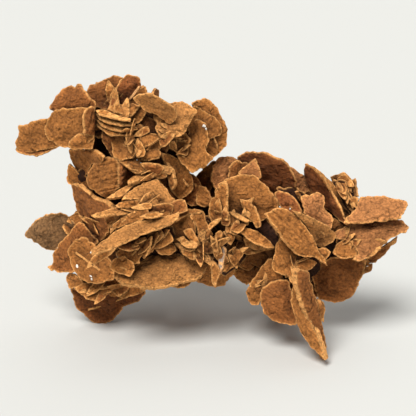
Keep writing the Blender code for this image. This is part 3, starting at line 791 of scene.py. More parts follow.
@dataclass(frozen=True)
class Drift:
    """A drift of small pointed leaves that stand on larger crystals.

    Attributes:
        u, v: its middle, in divisions to the right and down on the sheet.
        half_width, half_height: its reach in divisions.
        count: how many leaves it holds.
        length: their length (mm).
        aim: the way they point, in degrees up from the right.
        spread: how far that varies, in degrees; at 0 they point outward from the middle.
    """

    name: str
    u: float
    v: float
    half_width: float
    half_height: float
    count: int
    length: float
    aim: float
    spread: float

    def lenses(self, stone: BVHTree) -> list[Lens]:
        """The leaves, each half sunk where its sight line meets the stone.

        Args:
            stone: every larger crystal.

        Returns:
            Leaves to mesh, without those whose sight line misses the stone.
        """
        draw = random.Random(self.name)
        made = []
        for index in range(self.count):
            angle = draw.uniform(0.0, math.tau)
            far = math.sqrt(draw.random())
            u = self.u + self.half_width * far * math.cos(angle)
            v = self.v + self.half_height * far * math.sin(angle)
            place, normal, _, _ = stone.ray_cast(SHEET.eye, SHEET.sight(u, v))
            turn = math.radians(self.aim + self.spread * draw.uniform(-1.0, 1.0)) if self.spread else -angle
            lift = draw.uniform(0.15, 0.55)
            length, width = self.length * MM * draw.uniform(0.7, 1.3), draw.uniform(0.22, 0.42)
            thickness, tilt = draw.uniform(0.9, 1.4) * MM, draw.uniform(-0.7, 0.7)
            if place is None:
                continue
            aimed = Vector((math.cos(turn), 0.0, 0.0)) + SHEET.up * math.sin(turn)
            flat = (aimed - normal * aimed.dot(normal)).normalized()
            axis = (flat + normal * lift).normalized()
            side = (normal.cross(axis).normalized() + normal * tilt).normalized()
            face = axis.cross(side).normalized()
            side = face.cross(axis).normalized()
            steps = ((-0.5, -0.7), (-0.2, -1.0), (0.3, -0.62), (0.66, 0.0), (0.15, 0.75), (-0.5, 0.6))
            rim = [place + axis * (length * x) + side * (length * width * y) for x, y in steps]
            made.append(
                Lens(
                    f"{self.name}_leaf_{index}", rim, face, thickness, seed=index * 2.3 + self.u,
                    front_step=1.9, back_step=2.6, rim_step=1.15, ragged=0.35, edge=0.5,
                )
            )
        return made


# The tower's crown, left and top.
TOWER = Cluster("tower", (
    Crystal("tongue", 2.5, -15, 10, 2.2, "18,126 26,123 36,120 47,118 66,117 74,128 70,142 57,147 44,150 "
            "31,152 22,152 17,148 15,142 18.5,132"),
    Crystal("tongue_under", 2.5, -12, 40, 1.8, "19,140 40,137 60,139 58,147 52,150 44,154.5 37,156.5 28,156 "
            "20,153.5 16.5,149", Tone.BROWN, Skin.ROUGH),
    Crystal("shield", -2, -12, 8, 2.2, "52,114 56,109.5 64,108 80,107.5 93,110 95,125 94,138 84,146 72,149 "
            "60,147 55,144 46,138 44,129 46,120", keel=16),
    Crystal("shield_tab", -5, 0, 5, 1.8, "68,148 69,142 76,134 80,133 86,134.5 94,137 94.5,143 93,149.5 "
            "82,149.5 72,150"),
    Crystal("side_fold", -6, 38, 0, 2, "84,115 88,108 93,106.5 95.3,110 95.5,124 95,137 90,136.5 84,134 "
            "83,125", Tone.BROWN, Skin.STRIATED, ridges=80.0),
    Crystal("rough_fan", 3, -18, 14, 2.4, "48.5,107 54,100 55,96 61,89 66,87 74,86 77,83.5 81,84.5 87,93 "
            "93,101 96,106 94,116 80,120 60,116 51,111", Tone.BROWN, Skin.ROUGH),
    Crystal("top_middle", 8, -5, 22, 2.2, "86.5,89 90,84.5 97,83 106,78.5 112,76.5 117,76 123,79 128,90 "
            "124,104 108,110 95,107 88,96", Tone.BROWN, keel=9),
    Crystal("top_peak", 4, 14, 5, 2.2, "119,84 121,80 127,74.5 132,75.5 138,76 141,82 142,90 135,99 127,106 "
            "120,110 113,106 114,96", Tone.RUST, keel=16),
    Crystal("peak_left", 0, -22, 32, 1.8, "112,97 115,90.5 118.5,92 117,98 116,103 113,107 108,109.5 "
            "110,103", Tone.UMBER, keel=15),
    Crystal("peak_right", -1, 36, 20, 2, "124,104 131,97 139,89.5 146,86 147.5,95 143,100 134,108 125,111.5 "
            "121,111"),
    Crystal("seam", -2, -10, 20, 1.4, "121,111 125,103 131,95 138.5,85.5 140.5,87 134,96 127.5,104 "
            "124,111", Tone.CLEAR, Skin.SMOOTH),
    Crystal("ledge_cap", -5, 4, 52, 2.4, "107,109 110,106 116,104 124,104 134,102.5 138,104.5 143,103.5 "
            "137,110 131,116.5 122,114.5 114,112"),
    Crystal("stack_1", -8, -14, 55, 1.5, "95,110 101,109.3 107,110 114,113.5 122,116.5 131,117.8 130,121 "
            "118,119.5 108,117 99,114.5", keel=15),
    Crystal("stack_2", -7, -14, 50, 1.5, "95,112.5 100,115 108,118 118,121 130,122.3 137,121.5 133,126 "
            "120,126 108,123 98,118.5", keel=15),
    Crystal("stack_3", -6, -12, 46, 1.5, "95,118.5 100,120.5 108,124 120,127 132,127.5 130,131 120,131.5 "
            "110,129.5 101,126", keel=8),
    Crystal("stack_4", -5, -12, 42, 1.6, "95.5,122 101,124.5 110,127.5 118,130.5 128,131 128,134.5 "
            "118,135.5 111,136 105,132.5 96,126", keel=9),
    Crystal("stack_5", -3, -5, 30, 1.8, "128,104 143,104 147,112 143,120 138,124 130,121 122,117 "
            "124,110", keel=10),
    Crystal("arch", -9, -6, -22, 2.4, "133,99 139,95.5 146,94 152,94.5 158,97 165,101.5 172,107 176,112 "
            "177,117 174,122 170,124 165,121.5 158,116 150,113 142,109", Tone.PALE, keel=10),
    Crystal("arch_inner", 2, -12, -5, 2, "140,103 153,107 160,114 157,126 154,131 147,133 142,128 "
            "138,119", keel=12),
    Crystal("heart", -4, 2, 36, 2.4, "153,111 160,106 171,103 183,102 188,103.5 196,110 196.5,112.5 190,122 "
            "187,128 184.5,133.5 178,136 166,139.5 161,137 155,127 153,117", Tone.PALE, keel=15),
    Crystal("rear_disc", 8, 16, 12, 2.4, "192,103 196,100 200,98.5 205,98 213,102 219,110 225,121 228,129 "
            "226.5,137 227,143 224,149 219,154 213,158 200,156 190,140 188,118", keel=8),
    Crystal("rear_step", 5.6, 16, 12, 2, "194,105 200,107.5 206,112 213,115 219,121 222,128 221,134 216,137 "
            "210,138.5 208,145 206,153 196,150 188,140 188,118"),
    Crystal("bumpy_disc", 0, 6, 24, 2.4, "186,126 190,121 197,118 205,122 208,130 209,140 207,150 213,158 "
            "208,165 202,169 193,173.5 187,169 180,162 176,152 178,142", Tone.TAN, Skin.ROUGH),
))
# The clusters in the tower's neck and the saddle below it.
NECK = Cluster("neck and saddle", (
    Crystal("cluster_left", -6, -25, 20, 2.2, "105,134.5 118,135 128,134 139,124 143,129 140,138 139,150 "
            "135,156 128,159 119,161.5 113,156 112,150 110,143"),
    Crystal("cluster_dark", -9, 22, 0, 1.8, "127,143 133,138 139.5,141 138.5,150 134,155.5 129,151"),
    Crystal("cluster_top", -8, 0, 40, 2, "139,138 142,133 150,132 157,134 161,138 154,143 146,146.5 142,152 "
            "137,156.5"),
    Crystal("cluster_mid", -8, 6, 32, 2, "141,150 150,148.5 158,148 161.5,152 159,158 150,161 141,160"),
    Crystal("cluster_right", -6, 14, 20, 1.8, "150,143.5 158,139 164,141 161.5,148 155,152 147,150"),
    Crystal("wedge_small", -5, 0, -16, 1.8, "166,135 174,133 177.5,142 174,150 169.5,148", keel=20),
    Crystal("wedge_right", -2, -14, 20, 2, "175,138 186,133 191,140 184,151 178,153 176.5,145"),
    Crystal("neck_plate", -3, 24, 6, 2.4, "158,152 168,153.5 178,159 188,170 193,177 194,188 190,194 "
            "180,200 172,192 169,180 166,166", keel=8),
    Crystal("neck_strip", -7, -48, 8, 1.8, "160,160 166,161.5 172,170 174.5,184 172,190 168.5,184 167.5,173 "
            "162,166"),
    Crystal("white_crumb", -9, -4, 42, 2, "113,157 128,158 137,157 143,160 151,163 159,166 150,170 136,174 "
            "127,167"),
    Crystal("bar", -11, -8, 58, 2.6, "127,181 133,176 142,172.5 152,170 162,168.5 169,168.5 169,171 "
            "160,172.5 148,176.5 136,181.5 128,184", Tone.PALE),
    Crystal("bar_shadow", -9, -6, 12, 2, "128,183 145,176 160,172 168,172 166,178 158,180 146,184 134,188"),
    Crystal("saddle", -16, 12, 36, 2.6, "122,200 125,193 133,187 146,181.5 158,178 163,184 168,190 173,197 "
            "178,207 178,215 172,211.5 163,210 156,206 146,203 134,199.5", Tone.PALE),
    Crystal("thorn_left", -15, -20, 50, 1.8, "105,198.5 110,195 118,190 126,186 134,184.5 129,190 123,196 "
            "114,198", Tone.PALE),
    Crystal("striped_disc", -6, -24, 10, 2.4, "86,180 88,171 93,164.5 101,159.3 110,156 114,157 118,163 "
            "119,172 118,183 120,188 110,194 105.5,198.5 96,193 89,186", Tone.TAN, Skin.STRIATED),
    Crystal("striped_side", -8, 30, 8, 1.8, "119,161.5 123.5,163 126.5,170 126,180 124,186 119,187 "
            "117.5,175", Tone.BROWN, Skin.STRIATED),
    Crystal("under_shield", 2, -42, -8, 2.2, "68,149 80,149 95,150 104,157 100,164 92,166 88,173 83,176 "
            "76,170 70,158"),
    Crystal("left_mid", 5, -22, 6, 2.2, "69,163.5 76,169 81,174.5 88,177 92,190 92,199.5 81,199.5 75,194 "
            "70,187 67,181 67,172"),
    Crystal("left_rim", -1, -44, -14, 2.4, "71,184 80,187 92,197 106,203 114,210 108,218 109,232 102,238.5 "
            "97,242 88,229 80,219 76,208 72.5,194", Tone.BROWN),
))
# The lower left: discs, laminae and the foot.
LEFT = Cluster("lower left", (
    Crystal("low_disc", 14, -14, 6, 2.4, "25,235 29,227 30,224 40,217 46,214 57,213 66,215.5 74,222 77,227 "
            "72,233 64,242 54,251 47,249.5 35,243.5 28,238.5", Tone.GREY, Skin.ROUGH),
    Crystal("low_spur", 12, -10, 20, 1.8, "66,222 69,216 76,210.5 80,214 82,221 77,228"),
    Crystal("slant_plate", 4, -22, 15, 2.4, "78,221 84,225 92,234 98,242 90,253 80,263 74,272.5 60,273 "
            "52,271.5 47,267.5 52,264.5 53,256 56,248 66,236", Tone.BROWN),
    Crystal("round_disc", -6, -10, 15, 2.4, "67,252 70,245 76,238.5 84,237.5 94,243 101,251 108,257 114,265 "
            "114,279 104,283 90,283.5 80,280 74,271.5 70,262", keel=9),
    Crystal("low_lamina", -4, -4, 28, 2, "74,288 80,282.5 92,283.5 104,284 114,280 118,286 112,292 104,296 "
            "97,302 88,299.5 78,293.5", keel=15),
    Crystal("low_notch", 2, -30, 2, 2, "65,278 68,273.5 74,274 82,281 84,285 78,287.5 69,288.5"),
    Crystal("foot_plate", 6.5, -4, -12, 2.6, "71,289 84,290 100,286 120,287 147,289 146,294 137,302 126,306 "
            "121,312 112,320.5 100,325 88,319.5 78,310 72.5,299", Tone.UMBER, Skin.ROUGH, keel=9),
    Crystal("foot_lamina", -3, 0, 26, 2, "110,290 121,286 135,286 147,289.5 140,293.5 125,299 "
            "117,296", keel=9),
))
# The beak and the shelf over the arch.
NOSE = Cluster("nose", (
    Crystal("beak_upper", -20, -8, 62, 2, "91,215 97,212.3 104,210.5 114,207.5 128,206.5 141,206.5 134,211 "
            "127,214.5 112,215.3 102,216.5 95,216.8", Tone.PALE),
    Crystal("beak_arch", -25, -14, 20, 2.4, "110,234 109.5,228 113,222.5 119,218.5 127,214.5 135,209.5 "
            "143,205 148,209 150,215 141,221 127,225.5 117,229", keel=23),
    Crystal("beak_shelf", -19, -2, 32, 2, "115,205.5 119,202 125,200.3 133,199.5 142,200.5 149,204 142,206 "
            "130,208.5 118,208.5"),
    Crystal("beak_wedge", -17, -16, 0, 2, "103,217.5 111,216 121,215 117,220 112,225 109.5,229.5 "
            "105.5,223", keel=9),
    Crystal("lower_beak", -31, -6, 46, 3.2, "90,250.5 95,246 104,239.5 114,231.5 124,226 138,221.5 154,219 "
            "170,215 179,211.5 178.5,217 170,225.5 156,230 143,235 130,241 115,248 101,252.5 "
            "92,254.5", Tone.PALE, keel=25),
    Crystal("beak_sliver", -28, -4, 50, 1.4, "118,246.5 127,243 137,239 145,236.5 147,239 138,243.5 "
            "128,246.5", keel=20),
    Crystal("beak_keel", -31, -28, -8, 2, "86,269 88,263 93,256 101,252 116,248 111,255 102,260 94,265.5"),
    Crystal("shelf_small", -28, 4, 58, 1.4, "139,216.3 147,213.5 154,212.3 164,213.3 160,216.3 "
            "150,218", keel=8),
    Crystal("shelf_inner", -22, 4, 22, 1.8, "145,206 152,204 159,206.5 166,211 162,214 150,213", keel=11),
    Crystal("pleat_1", -25, -52, 8, 2, "142,245 146,240 151,236 150,245 147.5,254 143,259 141,252"),
    Crystal("pleat_2", -24, -46, 10, 2, "149,238 157,231.5 158.5,236 154.5,244 150,252 146.5,256 "
            "148,246", keel=17),
    Crystal("pleat_3", -23, -36, 12, 2, "156,234 164,228.5 169,230 164,238 157,246 151,253 "
            "153,243", keel=14),
    Crystal("pleat_4", -22, 10, 22, 2, "154,247 163,241 171,238 177,250 170,255 158,254"),
    Crystal("pitted_disc", -25, 6, 6, 2.2, "115,252 124,246 134,244 144,240.5 146.5,247 145,254 139,264 "
            "131,265.5 124,262 117,258", Tone.TAN, Skin.PITTED, keel=18),
    Crystal("lobe_small", -27, -8, 18, 2, "109,266 112,260.5 117,257 124,255 133,262 134,270 129,276.5 "
            "118,273.5 111,270", keel=12),
    Crystal("broad_shelf", -22, 2, 42, 3, "114,276.5 122,270 130,265.5 140,260.5 152,255 166,252 180,254 "
            "194,260.5 208.5,262 208,267 202,276.5 190,281 172,285.5 152,289 139,287 "
            "123,285", Tone.PALE, keel=18),
    Crystal("broad_lip", -22.5, 6, 26, 2.2, "168,273 182,272 196,272 193,280 190,284.5 184,288 178,289 "
            "171,285", keel=7),
))
# The small rosette of petals right of the shelf.
ROSETTE = Cluster("rosette", (
    Crystal("left_petal", -17, -20, 16, 2.2, "170,236 171,228 175,221.5 181,217 189,213.5 194,222 196,233 "
            "190,241 181,245 174,243"),
    Crystal("lip_top", -16, 2, 60, 2, "179,209 187,208.3 195,208.3 203,210.5 201,213 189,213.5 182,217.5 "
            "176,221"),
    Crystal("facet_top", -18, 10, 22, 2, "189,214 203,212 207,220 210,228 206,237 201,243 198,234 194,224"),
    Crystal("petal_mid", -23, -10, 26, 2, "183,231 187,228.5 192,228.5 196,235 199.5,242 197,246 "
            "190,242", keel=7),
    Crystal("petal_low", -23, -26, 36, 1.8, "175.5,239 180,236.5 184,235.5 189,241 193,246 187,246.5 "
            "181,243.5", keel=7),
    Crystal("petal_rim", -22, -6, 48, 1.6, "173.5,243 179,242.5 185,246 196,249 190,251 181,249"),
    Crystal("petal_base", -23, 2, 22, 2, "180,250 188,249 196,249.5 204,253 209,259 201,261 190,259.5 "
            "183,255"),
    Crystal("facet_right", -21, 20, 6, 2, "202,243 207,240 211.5,244 212.5,250 216,254 212,260 206,258 "
            "202.5,251"),
    Crystal("facet_up", -19, 12, 16, 1.8, "204,232 210,227 213,234 211,243 204,244"),
    Crystal("petal_tall", -25, -30, 12, 1.8, "215.5,233 219,230.5 221.5,235 220.5,243 217,253 213,251 "
            "213,244", keel=23),
    Crystal("petal_far", -21, 22, 14, 1.8, "223,232 228,230.5 233,232.5 235,236.5 234,240.5 231,245.5 "
            "228,243", keel=20),
    Crystal("grey_column", -25, -24, 10, 2, "217.5,249 222,245.5 225.5,250 225.5,257 223,266 220.5,274 "
            "217.5,266 218.5,257", Tone.CLEAR, Skin.SMOOTH),
    Crystal("needle", -26, -20, 4, 1.8, "209.5,261 213.5,261.5 218,266 220.5,272 218,280 215,289 211.8,282 "
            "211,272"),
    Crystal("right_petal", -22, 22, 12, 2.2, "224.5,258 228,253 234,248.5 241,249.5 243.5,253 240,260 "
            "235,267 227,272.5 222.5,271", keel=20),
    Crystal("mid_leaf", -15, 8, 20, 2, "233,243 241,240 248,245 254,249 266,250 258,253.5 247,255 "
            "237,250", keel=17),
    Crystal("low_brown", -6, 8, 0, 2.2, "238,266 241,257 244,253 257,252 259,258 256,265 250,271 "
            "244,270", keel=8),
    Crystal("low_brown_b", -3, 16, -6, 2, "248,272 256,264 259,255 264,259 262,268 255,276"),
    Crystal("low_dark", -9, -4, -10, 2.4, "190,280 194,266 203,254 220,252 232,260 235,271 231,278 "
            "224,285.5 214,287 204,285", keel=15),
    Crystal("low_dark_b", -4, 6, -4, 2.2, "232,274 240,266 252,268 264,260 264,270 256,279 247,286 240,281"),
))
# The dome and the beams that cross before it.
DOME = Cluster("dome", (
    Crystal("tall_plate", -17, -38, 10, 2.2, "209,202 214,196 218,188 222,182 226,181 227.5,192 228.3,208 "
            "228,221.5 222,218.5 212,223 208,215", keel=27),
    Crystal("dome", -12, 0, 12, 2.6, "215,194 219,184.5 225,180 233,176.5 241,174.5 255,175 260,181 269,188 "
            "276,199 279,205 275,213 264,221 252,223 236,215 222,208"),
    Crystal("dome_beam", -19, 4, 50, 1.8, "227,211 233,211.5 241,215 250,220 247,222.5 240,219.5 "
            "232,215.5", keel=23),
    Crystal("bent_blade", -19, -28, 16, 2, "240,199.5 248,200 254,197 252,203 256,209 260,219 260,226 "
            "256,228 249,218 243,210", keel=12),
    Crystal("cross_beam", -23, -24, 40, 1.8, "210,222.5 215,219 222,217.5 218,222.5 209,230 "
            "207,226.5", keel=11),
    Crystal("fold_leaf", -21, 16, 36, 2.2, "228,224 234,221 244,226 258,231.5 270,241 275,248 264,247 "
            "254,243.5 246,238 238,229.5", keel=23),
    Crystal("fold_under", -17, 10, 10, 1.8, "243,236 254,243 266,246.5 275,248.5 264,251.5 254,250 "
            "246,246.5", keel=11),
    Crystal("dome_back", -8, 10, 4, 2, "228,196 248,190 264,200 276,204 278,222 262,232 244,228 "
            "230,214", keel=12),
))
# The upright discs behind the dome.
DISCS = Cluster("upright discs", (
    Crystal("pink_disc", 10, 14, 24, 2.2, "210,178 213,166 217,160 222,156.5 228,155.5 235,157 240,160 "
            "239,170 235,180 226,186 216,190", Tone.ROSE, Skin.SMOOTH),
    Crystal("pink_behind", 12, -14, 12, 2.2, "193,179 201,172 206,167 213,160 218,164 214,172 212,186 "
            "209,199 200,192 194,185", keel=7),
    Crystal("step_low", 1, -6, 18, 2.2, "192,188 198,184 206,187 211,195 213,203 205,207 197,204"),
    Crystal("triangle", 0, -16, 10, 2.2, "238,173 241,169 246,165.5 251,161 255,158 258,164 260,171 261,178 "
            "250,180 241,177", Tone.ROSE, Skin.SMOOTH, keel=13),
    Crystal("dark_disc", 7, -24, -12, 2.6, "237,158 241,154 246,152 252,151.5 265,153.5 278,158 283,160.5 "
            "288,165 293,173 296,182 296,190 292,199 278,200 260,190 248,180", Tone.UMBER),
    Crystal("light_fin", 10, 30, 20, 2.2, "284,161.5 288,165.5 294,168.5 304,175 308,183 311,188 310,192 "
            "300,194 292,190 286,176", Tone.ROSE, Skin.SMOOTH),
    Crystal("orange_chip", -4, 30, -6, 1.6, "295.5,192.5 299,191 304,199 303.5,203.5 299,200.5", keel=9),
    Crystal("red_leaf", -7, -10, 15, 2.2, "274,193 278,190.5 288,193 294,197 299,203 302,210 303,217 "
            "292,214 281,208 276,200", Tone.RUST, Skin.SMOOTH, keel=14),
    Crystal("map_leaf", -9, 10, 24, 2.4, "301,197 304,194.5 310,194 317,192 322,193.5 326,198 324,204 "
            "324,209 333,215.5 332,229 322,228 312,222 303,213", Tone.ROSE, Skin.SMOOTH),
    Crystal("edge_chip", -3, 20, 10, 2, "330,217.5 336,218.5 344,226 344,229 336,233.5 329,231", keel=7),
))
# The right arm: blades, stacks, wings and the plate under them.
ARM = Cluster("arm", (
    Crystal("dark_blade", 2, -48, -8, 2.4, "304,172 305,164 313,168 321,174 328,187 333,196 338,204 343,213 "
            "347,225 339,220 331,212 322,207 314,194 306,184", Tone.UMBER),
    Crystal("light_blade", -1, 40, 10, 2.4, "306,164 314,166.5 321,172 331,181 337,189 341,198 347,211 "
            "351,221 350,227 346,225 340,210 333,196 324,180 315,170", Tone.PALE),
    Crystal("stack_back", 7, 0, 12, 2.2, "329,176.5 337,174.3 345,175.5 350,178.8 354,180 355,189 358,198 "
            "351,204 342,192 334,184"),
    Crystal("stack_a", 1, -40, 20, 1.8, "332,178.5 337,180.5 342,187 347,193 350,200 345,198.5 "
            "339,190", Tone.RUST, keel=8),
    Crystal("stack_b", 2, -44, 14, 1.6, "341,183.5 345,185.5 349,192 353,199 348,197.5 344,191"),
    Crystal("stack_c", 0, -40, 20, 1.8, "341,195.5 347,198 351,203.5 355,210 352,213 346,206"),
    Crystal("stack_d", 3, -35, 12, 1.8, "346,186 351,180 355,177.5 356.5,181 356,188 358.5,197 "
            "351,196", keel=8),
    Crystal("stack_e", -2, -6, 28, 1.8, "349,198 354,195.5 359,198 357.5,203.5 353,209 349.5,204"),
    Crystal("upper_wing", -3, 8, 42, 3, "344,223 350,214 355,208 360,197.5 368,195.5 382,195 392,198 "
            "404,200 409,204 406,209 402,215 401,219 388,220 370,223", Tone.ROSE, Skin.SMOOTH, keel=10),
    Crystal("lower_wing", -8, 8, 38, 3.2, "330,236 338,230 346,226.5 362,222 380,220 402,219.5 410,227 "
            "406,231.5 398,234.5 390,240 380,248 370,257 358,261.5 352,260 358,253 "
            "351,243", Tone.ROSE, Skin.SMOOTH, keel=14),
    Crystal("wing_chips", -2, 16, 4, 2.6, "364,261 374,253 386,245 398,236 397,243 390,248 384,255.5 "
            "378.5,260 376,263.5 367,262.5", Tone.BROWN, Skin.ROUGH),
    Crystal("wing_crumb", -5, 10, 10, 2, "360,263 367,260 373,264 372,271 368,273 363,275 362,269"),
    Crystal("small_round", -12, 4, 34, 2.4, "332,252.5 338,243 346,238 351,242 354,247 362,251.5 356,255.5 "
            "350,258.5 340,259"),
    Crystal("brown_plate", -4, -10, 0, 2.6, "311,272 317,265 328,259 345,257 362,259 366,261 364,269 "
            "359,284 352,297 344,301 334,302.5 320,299.5 314,290", Tone.BROWN),
))
# The right leg: the striated plate, lobes and the spike.
LEG = Cluster("leg", (
    Crystal("striated_plate", -28, 14, 20, 2.6, "265,213.5 271,211.3 280,207.5 288,209.5 300,217 308,227 "
            "315,241 318,248 324,256 328,266 320,261 312,257 298,256 288,246 279,236 "
            "270,221", Tone.TAN, Skin.STRIATED, keel=27, ridges=-44.0),
    Crystal("orange_rim", -21, 26, -8, 2.2, "292,210.5 302,213 311,217 328,226 337,235 333,242 322,248 "
            "315,244 308,228 298,217", Tone.PALE, keel=26),
    Crystal("leg_facet", -24, 0, 20, 2, "311,252 318,248 326,247.5 331,252 327,258.5 323,262 "
            "316,257", keel=20),
    Crystal("ragged_lobe", -23, -14, 15, 2.4, "276,243 280,236 289,246 297,255 298,262 296,271 292,284 "
            "288,277 283,276 277,273.5 271.5,268 272,260", Tone.TAN, Skin.ROUGH, keel=13),
    Crystal("leg_chip", -27, 6, 12, 2, "296,261 305,259 313,260 317.5,263 312,268.5 304,272 "
            "297,268", keel=20),
    Crystal("lobe_upper", -18, -20, 0, 2.4, "245,292 249,285 254,276 261,267 271,258.5 276,268 284,278 "
            "284,288 272,295 262,298 259,305.5 250,305", Tone.TAN, Skin.ROUGH, keel=14),
    Crystal("lobe_lower", -24, -8, 6, 2.4, "260,290 270,283 279,279 286,279 291,287 293,305 297,320 295,325 "
            "284,325 271,321 264,314 261,303", Tone.BROWN, Skin.ROUGH, keel=15),
    Crystal("spike_left", -35, -34, 0, 3.4, "292,290 294,281 299,284 305,305 313,326 321,344 325.5,361 "
            "318,354 309,345 300,332 294,314 290.5,301"),
    Crystal("spike_right", -35, 34, 4, 3.6, "295,272 303,269 309,272 313,287 319,306 323,328 326.5,346 "
            "326.5,358 325,361.5 317,342 308,318 300,298", Tone.BROWN, keel=24),
    Crystal("spike_chip", -32, 20, 4, 1.8, "315,303 319,299.5 324,302.5 325.5,310 324,317 324,323 319,319 "
            "316,308"),
))
# Plates deep in the gaps between the front crystals, painted near black as the shade in those gaps.
RECESS = Cluster("deep plates", (
    Crystal("recess_top", 10, 4, 6, 3, "94,104 102,92 116,85 130,86 140,95 142,112 124,120 "
            "100,118", Tone.GAP_SHADE, Skin.ROUGH),
    Crystal("recess_tower", 11, 0, 0, 3, "84,134 118,132 140,142 168,140 184,148 186,166 164,168 140,164 "
            "114,168 86,164", Tone.GAP_SHADE, Skin.ROUGH),
    Crystal("recess_left", 6, -10, -6, 3, "77,172 98,160 118,170 124,204 126,232 110,242 92,228 "
            "81,212", Tone.GAP_SHADE, Skin.ROUGH),
    Crystal("recess_low", 2, 4, 0, 3, "160,232 186,222 214,214 240,218 256,232 256,250 246,268 222,274 "
            "196,270 172,262 158,248", Tone.GAP_SHADE, Skin.ROUGH),
    Crystal("recess_mid", 5, 6, 0, 3, "146,196 176,188 196,192 214,204 208,226 180,228 "
            "154,216", Tone.GAP_SHADE, Skin.ROUGH),
    Crystal("recess_dome", -3, 4, 0, 3, "260,214 278,206 296,214 306,232 298,248 274,248 "
            "260,236", Tone.GAP_SHADE, Skin.ROUGH),
    Crystal("recess_arm", 7, 4, -8, 3, "312,204 330,204 346,216 356,234 353,250 344,264 328,268 312,262 "
            "303,246 302,222", Tone.GAP_SHADE, Skin.ROUGH),
    Crystal("recess_leg", -2, 0, -6, 3, "262,226 290,234 316,250 322,268 310,284 294,294 280,288 266,270 "
            "260,250", Tone.GAP_SHADE, Skin.ROUGH),
    Crystal("recess_neck", 4, -10, 0, 2.6, "276,188 292,186 304,192 308,204 300,214 "
            "284,210", Tone.GAP_SHADE, Skin.ROUGH),
    Crystal("recess_wing", 0, 10, 10, 2.6, "336,232 352,226 368,236 366,252 352,264 "
            "338,256", Tone.GAP_SHADE, Skin.ROUGH),
))
# The blade at the back that the specimen also rests on.
HIND = Cluster("hind blade", (
    Crystal("hind_blade", 22, 8, -6, 3, "266,258 290,256 293,284 291,304 284,319 275,314 267,300 264,280"),
    Crystal("hind_blade_side", 18, -52, -4, 3, "262,262 288,258 292,280 288,300 280,312 270,300"),
))
# Plates behind the small leaves, that show only in the gaps between them; several are painted near black as
# the shade in those gaps.
MATRIX = Cluster("plates behind the small leaves", (
    Crystal("rosette_bowl", -14, -4, 14, 2.4, "169.7,229.3 174.3,220 183.7,214.2 200,213 209.3,220 "
            "213,238.7 214,257.3 209.3,261.5 200,260.8 190.7,258.5 181.3,252.7 "
            "173.2,243.3", Tone.BROWN, Skin.ROUGH),
    Crystal("centre_base", -13, 4, 8, 2.2, "208,226 214,224 226,226 238,230 246,238 250,250 244,262 236,270 "
            "226,276 216,272 210,262 207,246", Tone.GAP_SHADE, Skin.ROUGH),
    Crystal("pleat_base", -15, -8, 4, 2.2, "120,238 132,234 146,230 160,226 172,226 176,238 176,252 164,256 "
            "150,258 134,262 122,258 116,248", Tone.GAP_SHADE, Skin.ROUGH),
    Crystal("cluster_base", -2, -2, 6, 2.2, "100,122 116,112 134,110 150,116 162,126 168,140 166,158 "
            "156,168 138,170 122,164 110,156 102,140", Tone.BROWN, Skin.ROUGH),
    Crystal("dome_base", -13, 2, 10, 2.2, "210,204 224,200 244,204 262,214 276,230 282,246 268,250 250,246 "
            "232,238 216,230 208,218", Tone.GAP_SHADE, Skin.ROUGH),
    Crystal("arm_base", 2, -10, 10, 2.0, "330,182 344,180 354,184 357,196 356,208 352,216 346,210 "
            "338,198", Tone.GAP_SHADE, Skin.ROUGH),
    Crystal("neck_base", 0, 14, 4, 2.2, "158,160 170,156 184,164 196,176 204,190 206,202 192,206 174,204 "
            "164,190 158,176", Tone.BROWN, Skin.ROUGH),
    Crystal("beak_base", -11, -4, 20, 2.0, "112,212 126,204 144,202 164,206 178,208 178,216 164,222 146,226 "
            "130,230 116,232 110,224"),
    Crystal("gap_base", 12, 4, 6, 2.4, "203,178 214,174 226,178 232,192 230,208 220,214 210,210 "
            "204,198", Tone.BROWN),
    Crystal("gap_top", 7, 6, 4, 2.4, "230,164 240,160 250,164 256,180 250,194 236,196 228,184", Tone.BROWN),
    Crystal("gap_spike", 4, -10, 6, 2.4, "300,262 314,258 324,264 328,280 322,296 312,298 "
            "304,284", Tone.UMBER),
    Crystal("foot_gap", 2, 10, 0, 2.2, "78,282 88,280 100,284 104,294 96,302 86,298 80,292"),
    Crystal("leg_base", -6, 0, 0, 2.0, "238,240 256,236 276,242 296,250 304,262 296,274 276,274 258,268 "
            "244,258"),
))
CLUSTERS = (TOWER, NECK, LEFT, NOSE, ROSETTE, DOME, DISCS, ARM, LEG, RECESS, HIND, MATRIX)

# Growth centres behind the front.
GROWTHS = (
    Growth("tower_left", 90, 122, 14, 15, 4),
    Growth("tower_mid", 126, 120, 17, 20, 5),
    Growth("tower_right", 190, 136, 15, 19, 5),
    Growth("tower_back", 148, 118, 34, 18, 4),
    Growth("shoulder", 118, 178, 13, 21, 5),
    Growth("heart", 158, 184, 13, 21, 5),
    Growth("back_mid", 140, 190, 36, 22, 4),
    Growth("flank", 102, 242, 13, 20, 4),
    Growth("belly_left", 140, 246, 2, 23, 5),
    Growth("belly_right", 202, 238, 4, 20, 5),
    Growth("back_low", 180, 222, 32, 22, 4),
    Growth("crest", 252, 208, 10, 18, 5),
    Growth("saddle_back", 236, 240, 12, 17, 4),
    Growth("back_right", 262, 196, 28, 17, 4),
    Growth("neck", 305, 212, 12, 15, 4),
    Growth("arm", 352, 224, 8, 15, 4),
    Growth("leg", 284, 258, -6, 15, 5),
    Growth("thigh", 292, 284, -16, 10, 2),
    Growth("hind", 278, 261, 9, 13, 2),
    Growth("foot", 112, 280, 12, 17, 4),
)

